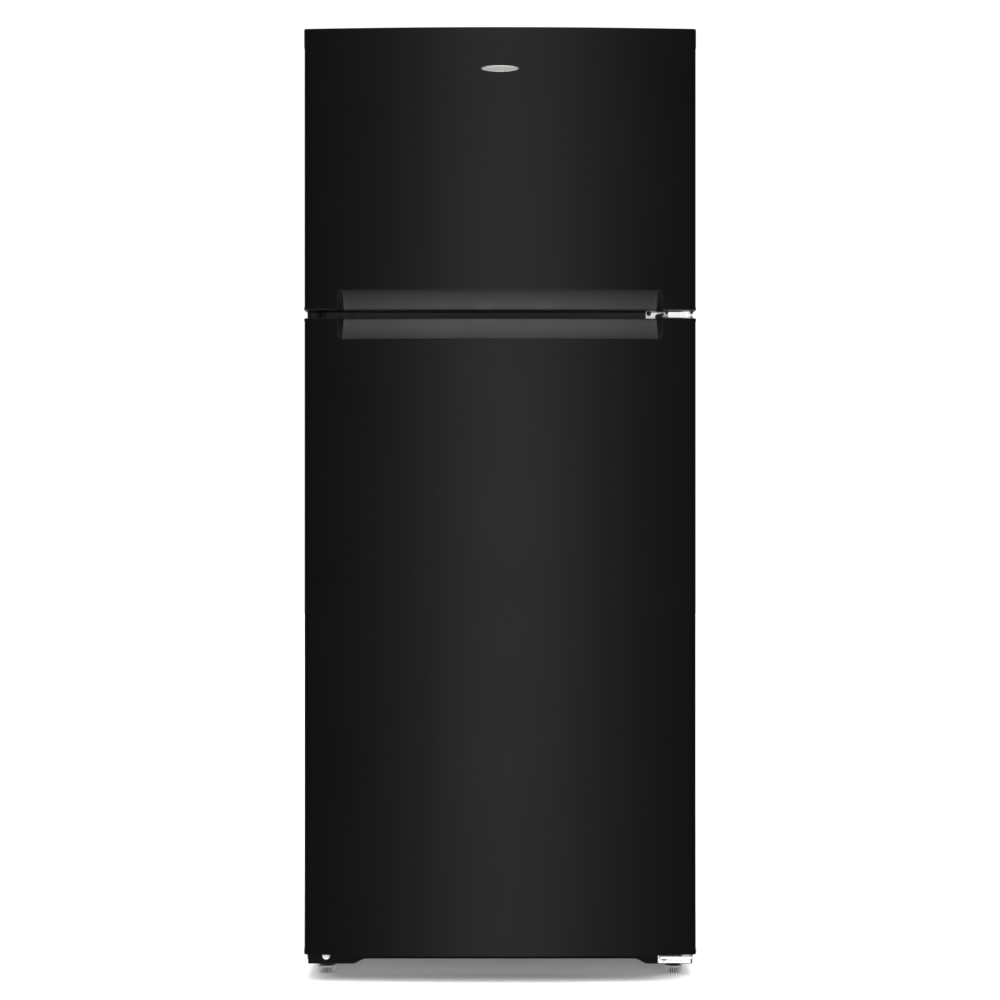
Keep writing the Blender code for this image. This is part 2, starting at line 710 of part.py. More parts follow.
# ---------------------------------------------------------------- hinges and front fittings
def build_hinges():
    face = Y_CABINET - FIT  # the brackets lie on the cabinet's front
    # top hinge: a plate on the cabinet's top with a narrow neck to the pin over the door
    z = Z_CABINET_TOP + FIT
    neck = 0.007
    outline = [
        (PIN_X + neck, PIN_Y),
        (PIN_X + neck, Y_CABINET + 0.012),
        (0.345, Y_CABINET + 0.020),
        (0.345, Y_CABINET + 0.085),
        (0.270, Y_CABINET + 0.085),
        (0.270, Y_CABINET + 0.020),
        (PIN_X - neck, Y_CABINET + 0.012),
        (PIN_X - neck, PIN_Y),
    ]
    outline += arc((PIN_X, PIN_Y), neck, 180, 360, 6)[1:-1]
    top = prism(outline, z, z + 0.0035)
    join(top, cylinder((PIN_X, PIN_Y, z - 0.005), PIN_R, 0.014))
    part(top, "top_hinge", "zinc_plate")

    cover_low = (0.262, Y_CABINET + 0.004, z + 0.004)
    cover = open_tray(cover_low, (0.347, Y_CABINET + 0.092, z + 0.0185), 0.002, 0.004)
    cover.rotation_euler = (0, math.pi, 0)
    nose = box((PIN_X - neck, PIN_Y - 0.006, z + 0.004), (PIN_X + neck, Y_CABINET + 0.008, z + 0.0105))
    rounded(nose, 0.002, 1)
    part(join(cover, nose), "top_hinge_cover", "black_plastic")

    # centre hinge: a flange on the mullion, a tongue, and a leaf that carries both doors' pins
    z = 1.1890
    flange = prism(
        [
            (0.2637, 1.1860),
            (0.2805, 1.1860),
            (0.2805, 1.1935),
            (0.2840, 1.1965),
            (0.2920, 1.1975),
            (0.2920, 1.1870),
            (0.3450, 1.1870),
            (0.3450, 1.1950),
            (0.2990, 1.1950),
            (0.2980, 1.2045),
            (0.2637, 1.2045),
        ],
        face - 0.0025,
        face,
        "XZ",
    )
    leaf = [
        (0.2960, face),
        (0.2925, face - 0.012),
        (0.3000, PIN_Y - 0.012),
        (0.3430, PIN_Y - 0.012),
        (0.3460, PIN_Y - 0.006),
        (0.3460, face),
    ]
    join(flange, prism(leaf, z, z + HINGE_PLATE))
    lip_y = PIN_Y - 0.012
    join(flange, box((0.3010, lip_y - 0.0005, 1.1867), (0.3380, lip_y + 0.0025, 1.1966)))
    join(flange, cylinder((PIN_X, PIN_Y, 1.1915), PIN_R, 0.034))
    join(flange, cylinder((PIN_X, PIN_Y, 1.1914), 0.0085, 0.0136))
    part(flange, "center_hinge", "zinc_plate")

    # bottom hinge: a flange on the base rail and a leaf under the refrigerator door
    z = 0.0385
    flange = box((0.2856, face - 0.0025, 0.0224), (0.3450, face, 0.0560))
    join(flange, box((0.2856, PIN_Y - 0.014, z), (0.3450, face, z + HINGE_PLATE)))
    join(flange, cylinder((PIN_X, PIN_Y, 0.0500), PIN_R, 0.022))
    join(flange, cylinder((PIN_X, PIN_Y, 0.0455), 0.0085, 0.0074))
    part(rounded(flange, 0.0008, 1), "bottom_hinge", "zinc_plate")


def screw_head(name, x, y, z, radius, finish):
    """A slotted pan-head screw that stands on a face towards -Y."""
    dome = [(0, 0.0032), (radius * 0.6, 0.0028), (radius * 0.95, 0.0014), (radius, 0), (0, 0)]
    head = turned(dome, (x, y, z), "Y", 16)
    slot = box((x - radius * 0.6, y - 0.006, z - 0.0006), (x + radius * 0.6, y - 0.0019, z + 0.0006))
    slot.rotation_euler = (0, SLOT_TURN, 0)
    return part(cut(head, slot), name, finish)


def build_front_fittings():
    face = Y_CABINET - FIT
    screw_head("center_hinge_screw", 0.2688, face - 0.0025 - FIT, 1.1967, 0.0042, "zinc_plate")
    screw_head("bottom_hinge_screw", 0.2965, face - 0.0025 - FIT, 0.0313, 0.0050, "zinc_plate")
    screw_head("leg_screw_left", -0.3150, face, 0.0350, 0.0068, "zinc_plate")

    button = [(0, 0.0020), (0.0050, 0.0018), (0.0064, 0.0008), (0.0068, 0), (0, 0)]
    part(turned(button, (-0.2684, face, 1.1973), "Y", 20), "mullion_plug", "black_plastic")

    cover = box((-0.3475, face - 0.006, 1.1850), (-0.3245, face, 1.2015))
    part(rounded(cover, 0.0025, 2), "hinge_hole_cover", "black_plastic")


# ---------------------------------------------------------------- doors
def build_freezer_door():
    edge, away, grip = Z_FREEZER_BOTTOM, 1, FREEZER_GRIP
    top_ear, bottom_ear = 0.035, 0.006
    skin = door_skin(edge + 0.0015, HEIGHT - 0.0005)
    cut(skin, handle_notch(edge, away, grip))
    ear_y = Y_EDGE + 0.0062
    for sign in (-1, 1):
        inner, outer = sorted((sign * (X_BODY - 0.006), sign * (X_CAP + 0.01)))
        cut(skin, box((inner, ear_y, HEIGHT - top_ear - FIT), (outer, -0.28, HEIGHT + 0.01)))
        cut(skin, box((inner, ear_y, edge - 0.01), (outer, -0.28, edge + bottom_ear + FIT)))
    part(skin, "freezer_door_skin", "black_steel")

    crown = 0.012
    shelf = Z_CABINET_TOP - 0.003
    top = prism(door_path(SHEET + FIT), HEIGHT - top_ear, HEIGHT - 0.0005)
    join(top, box((-X_CAP, Y_EDGE + 0.0065, HEIGHT - top_ear), (X_CAP, Y_DOOR_BACK, HEIGHT)))
    cut(top, prism(door_path(SHEET + FIT + crown, y_back=-0.28), shelf, HEIGHT + 0.01))
    cut(top, box((-0.4, Y_EDGE + crown, shelf), (0.4, -0.28, HEIGHT + 0.01)))
    cut(top, pin_hole(HEIGHT - top_ear - 0.002, shelf + 0.002))
    part(top, "freezer_door_top_cap", "black_plastic")

    part(handle_cap(edge, away, grip), "freezer_door_handle_cap", "black_plastic")
    foam = door_foam(edge + 0.016 + FIT, HEIGHT - top_ear - FIT, edge, away, grip)
    part(foam, "freezer_door_foam", "foam")
    part(door_liner(edge + 0.004, 1.674, 1.244, 1.620), "freezer_door_liner", "white_liner")
    part(gasket(1.2070, 1.6720), "freezer_gasket", "gasket_rubber")
    for name, low in FREEZER_BINS:
        part(door_bin(low, low + 0.085, 0.060), f"freezer_bin_{name}", "clear_plastic")

    half, tall, raised = 0.034, 0.0055, BADGE_RAISED
    turns = [math.tau * i / 24 for i in range(24)]
    oval = [(half * math.cos(a), Z_BADGE + tall * math.sin(a)) for a in turns]
    badge = prism(oval, Y_CROWN - 0.01, Y_CROWN + 0.01, "XZ")
    low, high = Z_BADGE - 0.02, Z_BADGE + 0.02
    band = [(-raised, low), (-FIT, low), (-FIT, high), (-raised, high)]
    boolean(badge, bowed_bar(band, [(0.01 * i, 1.0) for i in range(-5, 6)]), "INTERSECT")
    part(badge, "door_badge", "badge_silver")


def build_fridge_door():
    edge, away, grip = Z_FRIDGE_TOP, -1, FRIDGE_GRIP
    low_edge = Z_FRIDGE_BOTTOM
    top_ear, bottom_ear = 0.006, 0.010
    skin = door_skin(low_edge + 0.0015, edge - 0.0015)
    cut(skin, handle_notch(edge, away, grip))
    ear_y = Y_EDGE + 0.0062
    for sign in (-1, 1):
        inner, outer = sorted((sign * (X_BODY - 0.006), sign * (X_CAP + 0.01)))
        cut(skin, box((inner, ear_y, edge - top_ear - FIT), (outer, -0.28, edge + 0.01)))
        cut(skin, box((inner, ear_y, low_edge - 0.01), (outer, -0.28, low_edge + bottom_ear + FIT)))
    part(skin, "fridge_door_skin", "black_steel")

    part(handle_cap(edge, away, grip), "fridge_door_handle_cap", "black_plastic")
    bottom = end_cap(low_edge, 1, ear=bottom_ear)
    cut(bottom, pin_hole(low_edge - 0.002, low_edge + 0.018))
    join(bottom, box((0.3165, Y_EDGE + 0.008, low_edge - 0.0045), (0.3207, Y_EDGE + 0.016, low_edge + 0.002)))
    part(bottom, "fridge_door_bottom_cap", "black_plastic")

    foam = door_foam(low_edge + 0.016 + FIT, edge - 0.016 - FIT, edge, away, grip)
    part(foam, "fridge_door_foam", "foam")
    part(door_liner(low_edge + 0.006, edge - 0.004, 0.136, 1.138), "fridge_door_liner", "white_liner")
    part(gasket(0.0640, 1.1770), "fridge_gasket", "gasket_rubber")
    part(door_bin(0.163, 0.283, 0.080), "fridge_bin_lower", "clear_plastic")
    part(door_bin(0.570, 0.660, 0.062), "fridge_bin_upper", "clear_plastic")

    low, high = DAIRY_LOW, DAIRY_HIGH
    back = Y_DOOR_BACK + 0.0035
    case = open_tray((-0.2605, back, low), (0.2605, DAIRY_FRONT, high), 0.0025, 0.006, "back")
    part(case, "dairy_box", "clear_plastic")
    y = DAIRY_FRONT + 0.0006
    lid = box((-0.2570, y, low + 0.004), (0.2570, y + 0.0025, high + 0.0035))
    top = box((-0.2570, y - 0.012, high + 0.001), (0.2570, y + 0.0025, high + 0.0035))
    grip = box((-0.060, y + 0.001, low + 0.006), (0.060, y + 0.0100, low + 0.009))
    part(rounded(join(lid, top, grip), 0.0006, 1), "dairy_lid", "clear_plastic")


# ---------------------------------------------------------------- inside
def build_storage():
    glass = SHELF_GLASS
    y_front, y_back = -0.172, 0.300
    part(
        box((-0.2965, -0.150, SHELF_FREEZER + FIT), (0.2965, 0.236, SHELF_FREEZER + FIT + glass)),
        "freezer_shelf",
        "glass",
    )
    for name, z in (("upper_shelf", SHELF_UPPER), ("lower_shelf", SHELF_LOWER)):
        part(box((-0.3015, y_front, z + FIT), (0.3015, y_back, z + FIT + glass)), name, "glass")
    cover = box((-0.3015, -0.160, CRISPER_COVER + FIT), (0.3015, y_back, CRISPER_COVER + FIT + 0.008))
    join(cover, box((-0.2930, -0.160, CRISPER_COVER - 0.012), (0.2930, -0.154, CRISPER_COVER + 0.002)))
    part(cover, "crisper_cover", "glass")

    for side, sign in (("left", -1), ("right", 1)):
        low, high = sorted((sign * 0.004, sign * 0.290))
        z_low, z_high = FRIDGE_FLOOR + 0.004, CRISPER_COVER - 0.018
        drawer = open_tray((low, CRISPER_FRONT, z_low), (high, CRISPER_BACK, z_high), 0.003, 0.012)
        middle, y = (low + high) / 2, CRISPER_FRONT
        grip = box((middle - 0.070, y - 0.014, z_high - 0.030), (middle + 0.070, y + 0.001, z_high - 0.024))
        part(join(drawer, grip), f"crisper_{side}", "clear_plastic")


def build_controls():
    housing = box((-0.150, -0.205, 1.106), (0.150, -0.070, FRIDGE_CEILING - FIT))
    rounded(housing, 0.004, 2)
    cut(housing, cylinder((KNOB[0], -0.205, KNOB[2]), 0.0042, 0.030, "Y", 16))
    part(housing, "control_housing", "white_liner")

    x, _, z = KNOB
    knob = cylinder((x, -0.2120, z), 0.0150, 0.0130, "Y", 24, 0.0130)
    join(knob, cylinder((x, -0.2000, z), 0.0038, 0.020, "Y", 12))
    join(knob, box((x - 0.0015, -0.2225, z - 0.012), (x + 0.0015, -0.2150, z + 0.012)))
    part(knob, "temperature_knob", "grey_plastic")

    lens = box((-0.075, -0.170, 1.1005), (0.045, -0.105, 1.1057))
    part(rounded(lens, 0.0020, 1), "lamp_lens", "lamp_white")


def fan(name, centre, axis, radius, hub, thick, blades=5):
    """An axial fan: a hub with flat blades set at 30 degrees."""
    wheel = cylinder(centre, hub, thick, axis, 16)
    blade_length = radius - hub * 0.6
    for i in range(blades):
        turn = Matrix.Rotation(math.tau * i / blades, 4, "Z")
        blade = box((-0.013, 0, -0.0009), (0.013, blade_length, 0.0009))
        pitch = Matrix.Rotation(math.radians(30), 4, "Y")
        out = Matrix.Translation((0, hub * 0.6, 0))
        across = Matrix.Translation(centre) @ Matrix.Rotation(
            math.pi / 2, 4, "Y" if axis == "X" else "X"
        )
        bpy.context.view_layer.update()
        blade.matrix_world = across @ turn @ out @ pitch @ blade.matrix_world
        join(wheel, blade)
    return part(wheel, name, "black_plastic")


def serpentine(rows, half, pitch, start, radius_points=4):
    """Points of a level tube that runs to and fro across X, one pitch lower each time, with round ends."""
    x0, y0, z0 = start
    points = []
    for row in range(rows):
        z = z0 - row * pitch
        side = 1 if row % 2 == 0 else -1
        points += [(x0 - side * half, y0, z), (x0 + side * half, y0, z)]
        if row < rows - 1:
            for i in range(1, radius_points):
                a = math.pi * i / radius_points
                x = x0 + side * (half + pitch / 2 * math.sin(a))
                points.append((x, y0, z - pitch / 2 * (1 - math.cos(a))))
    return points


def build_evaporator():
    cover = box((-0.2900, 0.2480, FREEZER_FLOOR + 0.0065), (0.2900, 0.2510, FREEZER_CEILING - 0.0065))
    cut(cover, cylinder((EVAPORATOR_FAN[0], 0.2495, EVAPORATOR_FAN[2]), 0.054, 0.02, "Y", 24))
    for i in range(5):
        x = -0.20 + 0.10 * i
        cut(cover, box((x - 0.035, 0.24, 1.254), (x + 0.035, 0.26, 1.260)))
    part(cover, "evaporator_cover", "white_liner")
    part(tube(serpentine(7, 0.245, 0.030, (0, 0.285, 1.455)), 0.004), "evaporator_coil", "aluminium")
    fan("evaporator_fan", EVAPORATOR_FAN, "Y", 0.048, 0.014, 0.016)
    x, y, z = EVAPORATOR_FAN
    motor = cylinder((x, y + 0.0195, z), 0.021, 0.022, "Y", 16)
    join(motor, box((x - 0.070, y + 0.0270, z - 0.009), (x + 0.070, y + 0.0300, z + 0.009)))
    part(motor, "evaporator_fan_motor", "galvanised")


def build_machine_space():
    """Compressor, condenser and fan in the compartment at the bottom of the back."""
    floor = Z_CABINET_BOTTOM + 0.002 + FIT
    x, y = COMPRESSOR
    profile = [
        (0, 0.150),
        (0.030, 0.147),
        (0.052, 0.134),
        (0.062, 0.112),
        (0.064, 0.080),
        (0.070, 0.078),
        (0.070, 0.072),
        (0.064, 0.070),
        (0.060, 0.030),
        (0.045, 0.014),
        (0, 0.010),
    ]
    body = turned(profile, (x, y, floor), "Z", 20)
    join(body, box((x - 0.085, y - 0.045, floor), (x + 0.085, y + 0.045, floor + 0.016)))
    part(body, "compressor", "compressor_black")

    coil = serpentine(6, 0.085, 0.026, (0.205, 0.300, 0.185))
    part(tube(coil, 0.004), "condenser_coil", "copper_tube")

    motor = cylinder((0.050, 0.290, 0.125), 0.025, 0.040, "X", 16)
    join(motor, box((0.040, 0.278, floor), (0.050, 0.302, 0.120)))
    join(motor, box((0.030, 0.262, floor), (0.068, 0.318, floor + 0.003)))
    cut(motor, cylinder((0.030, 0.290, 0.125), 0.0042, 0.012, "X", 12))
    part(motor, "condenser_fan_motor", "galvanised")
    wheel = fan("condenser_fan", CONDENSER_FAN, "X", 0.062, 0.018, 0.018)
    join(wheel, cylinder((0.020, 0.290, 0.125), 0.0034, 0.028, "X", 12))

    y_cover = Y_SHELL_END - 0.0033
    cover = box((-0.3455, y_cover, 0.0335), (0.3455, y_cover + 0.002, MACHINE_TOP - 0.001))
    for column in range(9):
        for row in range(3):
            x = -0.28 + 0.07 * column
            z = 0.085 + 0.045 * row
            cut(cover, box((x - 0.024, y_cover - 0.02, z - 0.004), (x + 0.024, y_cover + 0.02, z + 0.004)))
    part(cover, "machine_cover", "galvanised")


# ---------------------------------------------------------------- feet and rollers
def build_feet():
    for side, sign in (("left", -1), ("right", 1)):
        profile = [
            (0, 0.062),
            (0.0048, 0.061),
            (0.0048, 0.0215),
            (0.0080, 0.0185),
            (0.0080, 0.0150),
            (0.0110, 0.0112),
            (FOOT_R - 0.0015, 0.0140),
            (FOOT_R, 0.0132),
            (FOOT_R, 0.0112),
            (FOOT_R - 0.0032, 0.0022),
            (FOOT_R - 0.0046, 0),
            (0, 0),
        ]
        foot = turned(profile, (sign * FOOT_X, FOOT_Y, 0), "Z", 24)
        part(foot, f"leveling_foot_{side}", "zinc_plate")

        wide = 0.006
        rim = [(ROLLER_R, wide), (ROLLER_R, -wide), (0.0033, -wide), (0.0033, wide)]
        roller = ring_section(rim, (sign * ROLLER_X, ROLLER_Y, ROLLER_R), "X", 24)
        part(roller, f"rear_roller_{side}", "grey_plastic")


# ---------------------------------------------------------------- assembly
def carry_moving_parts():
    """Puts the moving pieces under empties on their joints' axes."""
    named = bpy.data.objects
    freezer = [obj for obj in PARTS.objects if obj.name.startswith("freezer_door")]
    freezer += [named[n] for n in ("freezer_gasket", "freezer_bin_lower", "freezer_bin_upper", "door_badge")]
    carry(("freezer_door_pivot", (PIN_X, PIN_Y, Z_FREEZER_BOTTOM)), *freezer)
    fridge = [obj for obj in PARTS.objects if obj.name.startswith("fridge_door")]
    fridge += [named[n] for n in ("fridge_gasket", "fridge_bin_lower", "fridge_bin_upper", "dairy_box")]
    carry(("fridge_door_pivot", (PIN_X, PIN_Y, Z_FRIDGE_BOTTOM)), *fridge)
    carry(("dairy_lid_pivot", DAIRY_PIVOT), named["dairy_lid"])
    carry(("knob_pivot", KNOB), named["temperature_knob"])
    carry(("evaporator_fan_pivot", EVAPORATOR_FAN), named["evaporator_fan"])
    carry(("condenser_fan_pivot", CONDENSER_FAN), named["condenser_fan"])


build_cabinet_shell()
build_base()
build_insulation()
build_liners()
build_hinges()
build_front_fittings()
build_freezer_door()
build_fridge_door()
build_storage()
build_controls()
build_evaporator()
build_machine_space()
build_feet()
carry_moving_parts()
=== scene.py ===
"""The looks of the refrigerator: materials, detailed surfaces, floor, light and camera."""

import json
import math

import bmesh
import bpy
from mathutils import Matrix, Vector


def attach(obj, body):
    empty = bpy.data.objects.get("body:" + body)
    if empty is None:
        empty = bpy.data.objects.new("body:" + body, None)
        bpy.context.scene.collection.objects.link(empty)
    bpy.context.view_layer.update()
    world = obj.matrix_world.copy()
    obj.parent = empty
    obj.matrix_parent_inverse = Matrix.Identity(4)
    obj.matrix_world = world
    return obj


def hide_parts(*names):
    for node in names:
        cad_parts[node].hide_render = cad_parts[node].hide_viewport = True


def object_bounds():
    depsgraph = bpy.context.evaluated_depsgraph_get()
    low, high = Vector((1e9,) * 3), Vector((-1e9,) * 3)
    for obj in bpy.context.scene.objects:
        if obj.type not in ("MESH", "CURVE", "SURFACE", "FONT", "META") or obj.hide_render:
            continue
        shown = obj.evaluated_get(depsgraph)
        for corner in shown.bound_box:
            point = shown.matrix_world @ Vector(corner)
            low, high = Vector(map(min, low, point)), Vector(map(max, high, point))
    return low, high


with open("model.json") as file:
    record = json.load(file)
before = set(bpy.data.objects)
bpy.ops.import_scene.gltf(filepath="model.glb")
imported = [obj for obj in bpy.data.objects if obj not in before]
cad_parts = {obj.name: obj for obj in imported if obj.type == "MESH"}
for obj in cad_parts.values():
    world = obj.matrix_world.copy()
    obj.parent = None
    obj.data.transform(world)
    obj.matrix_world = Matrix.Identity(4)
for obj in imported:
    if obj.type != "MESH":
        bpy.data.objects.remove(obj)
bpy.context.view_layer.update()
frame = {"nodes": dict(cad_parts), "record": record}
NODES = frame["nodes"]
SLOTS = {entry["node"]: entry["material_slot"] for entry in frame["record"]["subparts"]}
BODY_OF = {
    node: body for body, nodes in frame["record"]["behaviour"]["bodies"].items() for node in nodes
}

# ---------------------------------------------------------------- sizes, in the frame's metres
# Names with X_, Y_ and Z_ are places, and the others are lengths unless they name a place themselves.
(_, LOW_Y, _), (HIGH_X, HIGH_Y, HIGH_Z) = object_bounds()
SHEET = 0.001
SKIN = 0.0016
LINER = 0.002
PANE = 0.004
PLATE = 0.0025  # hinge flanges, mullion and base rail
FIT = 0.0003  # the gap between pieces that fit into one another
RAISED_BADGE = 0.0012

# The doors' and the cabinet's outer surfaces. The doors' front is an arc about a far axis.
X_CAP = HIGH_X
X_BODY = HIGH_X - 0.001
Y_CROWN = LOW_Y + RAISED_BADGE
BOW = 0.018
Y_EDGE = Y_CROWN + BOW
Y_DOOR_BACK = Y_EDGE + 0.058
Y_CABINET = Y_DOOR_BACK + 0.01
Y_BACK = HIGH_Y
Y_SHELL_END = HIGH_Y - 0.0013
BOW_RADIUS = (X_BODY**2 + BOW**2) / (2 * BOW)
X_FLANGE = X_BODY - 0.035
FACE = Y_CABINET - FIT

Z_TOP = HIGH_Z
Z_CABINET_TOP, Z_CABINET_BOTTOM = 1.68, 0.0297
Z_LEG, Z_RAIL_TOP = 0.0206, 0.118
Z_FREEZER_BOTTOM, Z_FRIDGE_TOP, Z_FRIDGE_BOTTOM = 1.1985, 1.1842, 0.0495
MULLION_BOTTOM, MULLION_TOP = 1.166, 1.22
TOP_FLANGE = 0.024

PIN_X, PIN_Y, PIN_R, PIN_HOLE_R = 0.333, -0.325, 0.005, 0.0055
HINGE_LIP = (0.301, 1.1867, 0.338, 1.1966)  # low x and z, high x and z
HINGE_LOW, HINGE_IN, HINGE_OUT = 0.0385, 0.2856, 0.345

# The recessed grips at the doors' meeting edges, and the finger groove behind each one's lip.
GRIP_HALF, GRIP_CORNER = 0.29, 0.009
GRIP_CHEEK_OUT, GRIP_CHEEK_IN = 0.289, 0.28
GRIP_STEP = 0.003
LIP, REVEAL = 0.0015, 0.0005  # what shows of an end cap past the skin, at a grip and elsewhere
CAP_TALL, EAR_LOW, EAR_BOTTOM, EAR_TOP = 0.016, 0.006, 0.01, 0.035
GRIP_SLOPES = math.tan(math.radians(16)), math.tan(math.radians(30))
FREEZER_GRIP, FRIDGE_GRIP = 0.035, 0.0385
GROOVE_FRONT, GROOVE_BACK, GROOVE_HALF = -0.338, -0.322, 0.262

# The two compartments, with the hump over the machine space, and what stands in them.
FREEZER_HALF, FREEZER_FLOOR, FREEZER_CEILING = 0.298, 1.234, 1.63
FRIDGE_HALF, FRIDGE_FLOOR, FRIDGE_CEILING = 0.303, 0.124, 1.15
LINER_BACK = 0.312
HUMP_FRONT, HUMP_SLOPE_END, HUMP_TOP = 0.14, 0.165, 0.291
MACHINE_TOP = 0.231
SHELF_FREEZER, SHELF_UPPER, SHELF_LOWER, CRISPER_COVER = 1.42, 0.85, 0.6, 0.335
Z_BADGE = 1.626

BIN_HALF, BIN_BACK, BIN_WALL = 0.2605, Y_DOOR_BACK + 0.0035, 0.0025
FOOT_X, FOOT_Y, FOOT_R, FOOT_RIBS = 0.3147, -0.259, 0.0165, 24
ROLLER_X, ROLLER_Y, ROLLER_R = 0.318, 0.29, 0.014
KNOB = Vector((0.075, -0.215, 1.128))
EVAPORATOR_FAN = Vector((0.0, 0.278, 1.55))
CONDENSER_FAN = Vector((0.0, 0.29, 0.125))


# ---------------------------------------------------------------- material helpers
def put(tree, value, socket):
    """Links a node's result to a socket, or gives the socket a value of its own."""
    if isinstance(value, bpy.types.NodeSocket):
        tree.links.new(value, socket)
    else:
        socket.default_value = value


def fill(tree, node, **inputs):
    """Puts values into a node's sockets by name, with spaces as underscores."""
    for name, value in inputs.items():
        put(tree, value, node.inputs[name.replace("_", " ")])


def add_node(tree, kind, **inputs):
    node = tree.nodes.new("ShaderNode" + kind)
    fill(tree, node, **inputs)
    return node


def noise(tree, scale, detail):
    """A noise texture in real metres: scale is features per metre."""
    place = add_node(tree, "TexCoord").outputs["Object"]
    return add_node(tree, "TexNoise", Scale=scale, Detail=detail, Vector=place).outputs["Fac"]


def ranged(tree, value, **limits):
    """A value mapped from one range to another, cut off at the ends."""
    return add_node(tree, "MapRange", Value=value, **limits).outputs["Result"]


def make_finish(name, color, roughness, metallic=0.0, rough=None, wear=None, bump=None, **extra):
    """A material that changes a little from place to place, as handling leaves it. rough is its lowest and
    highest roughness and their noise's scale, wear is two colours and their scale, and bump is a noise's
    scale and detail, then the relief's height and strength. extra are further inputs of its shader."""
    made = bpy.data.materials.new(name)
    made.use_nodes = True
    tree = made.node_tree
    shader = tree.nodes["Principled BSDF"]
    fill(tree, shader, Base_Color=(*color, 1.0), Roughness=roughness, Metallic=metallic, **extra)
    if rough:
        low, high, scale = rough
        value = ranged(tree, noise(tree, scale, 4.0), From_Min=0.3, From_Max=0.7, To_Min=low, To_Max=high)
        fill(tree, shader, Roughness=value)
    if wear:
        first, second, scale = wear
        mix = add_node(tree, "Mix")
        mix.data_type = "RGBA"
        share = ranged(tree, noise(tree, scale, 5.0), From_Min=0.35, From_Max=0.65)
        fill(tree, mix, A=(*first, 1.0), B=(*second, 1.0), Factor=share)
        fill(tree, shader, Base_Color=mix.outputs["Result"])
    if bump:
        scale, detail, height, strength = bump
        relief = add_node(tree, "Bump", Distance=height, Strength=strength, Height=noise(tree, scale, detail))
        fill(tree, shader, Normal=relief.outputs["Normal"])
    return made


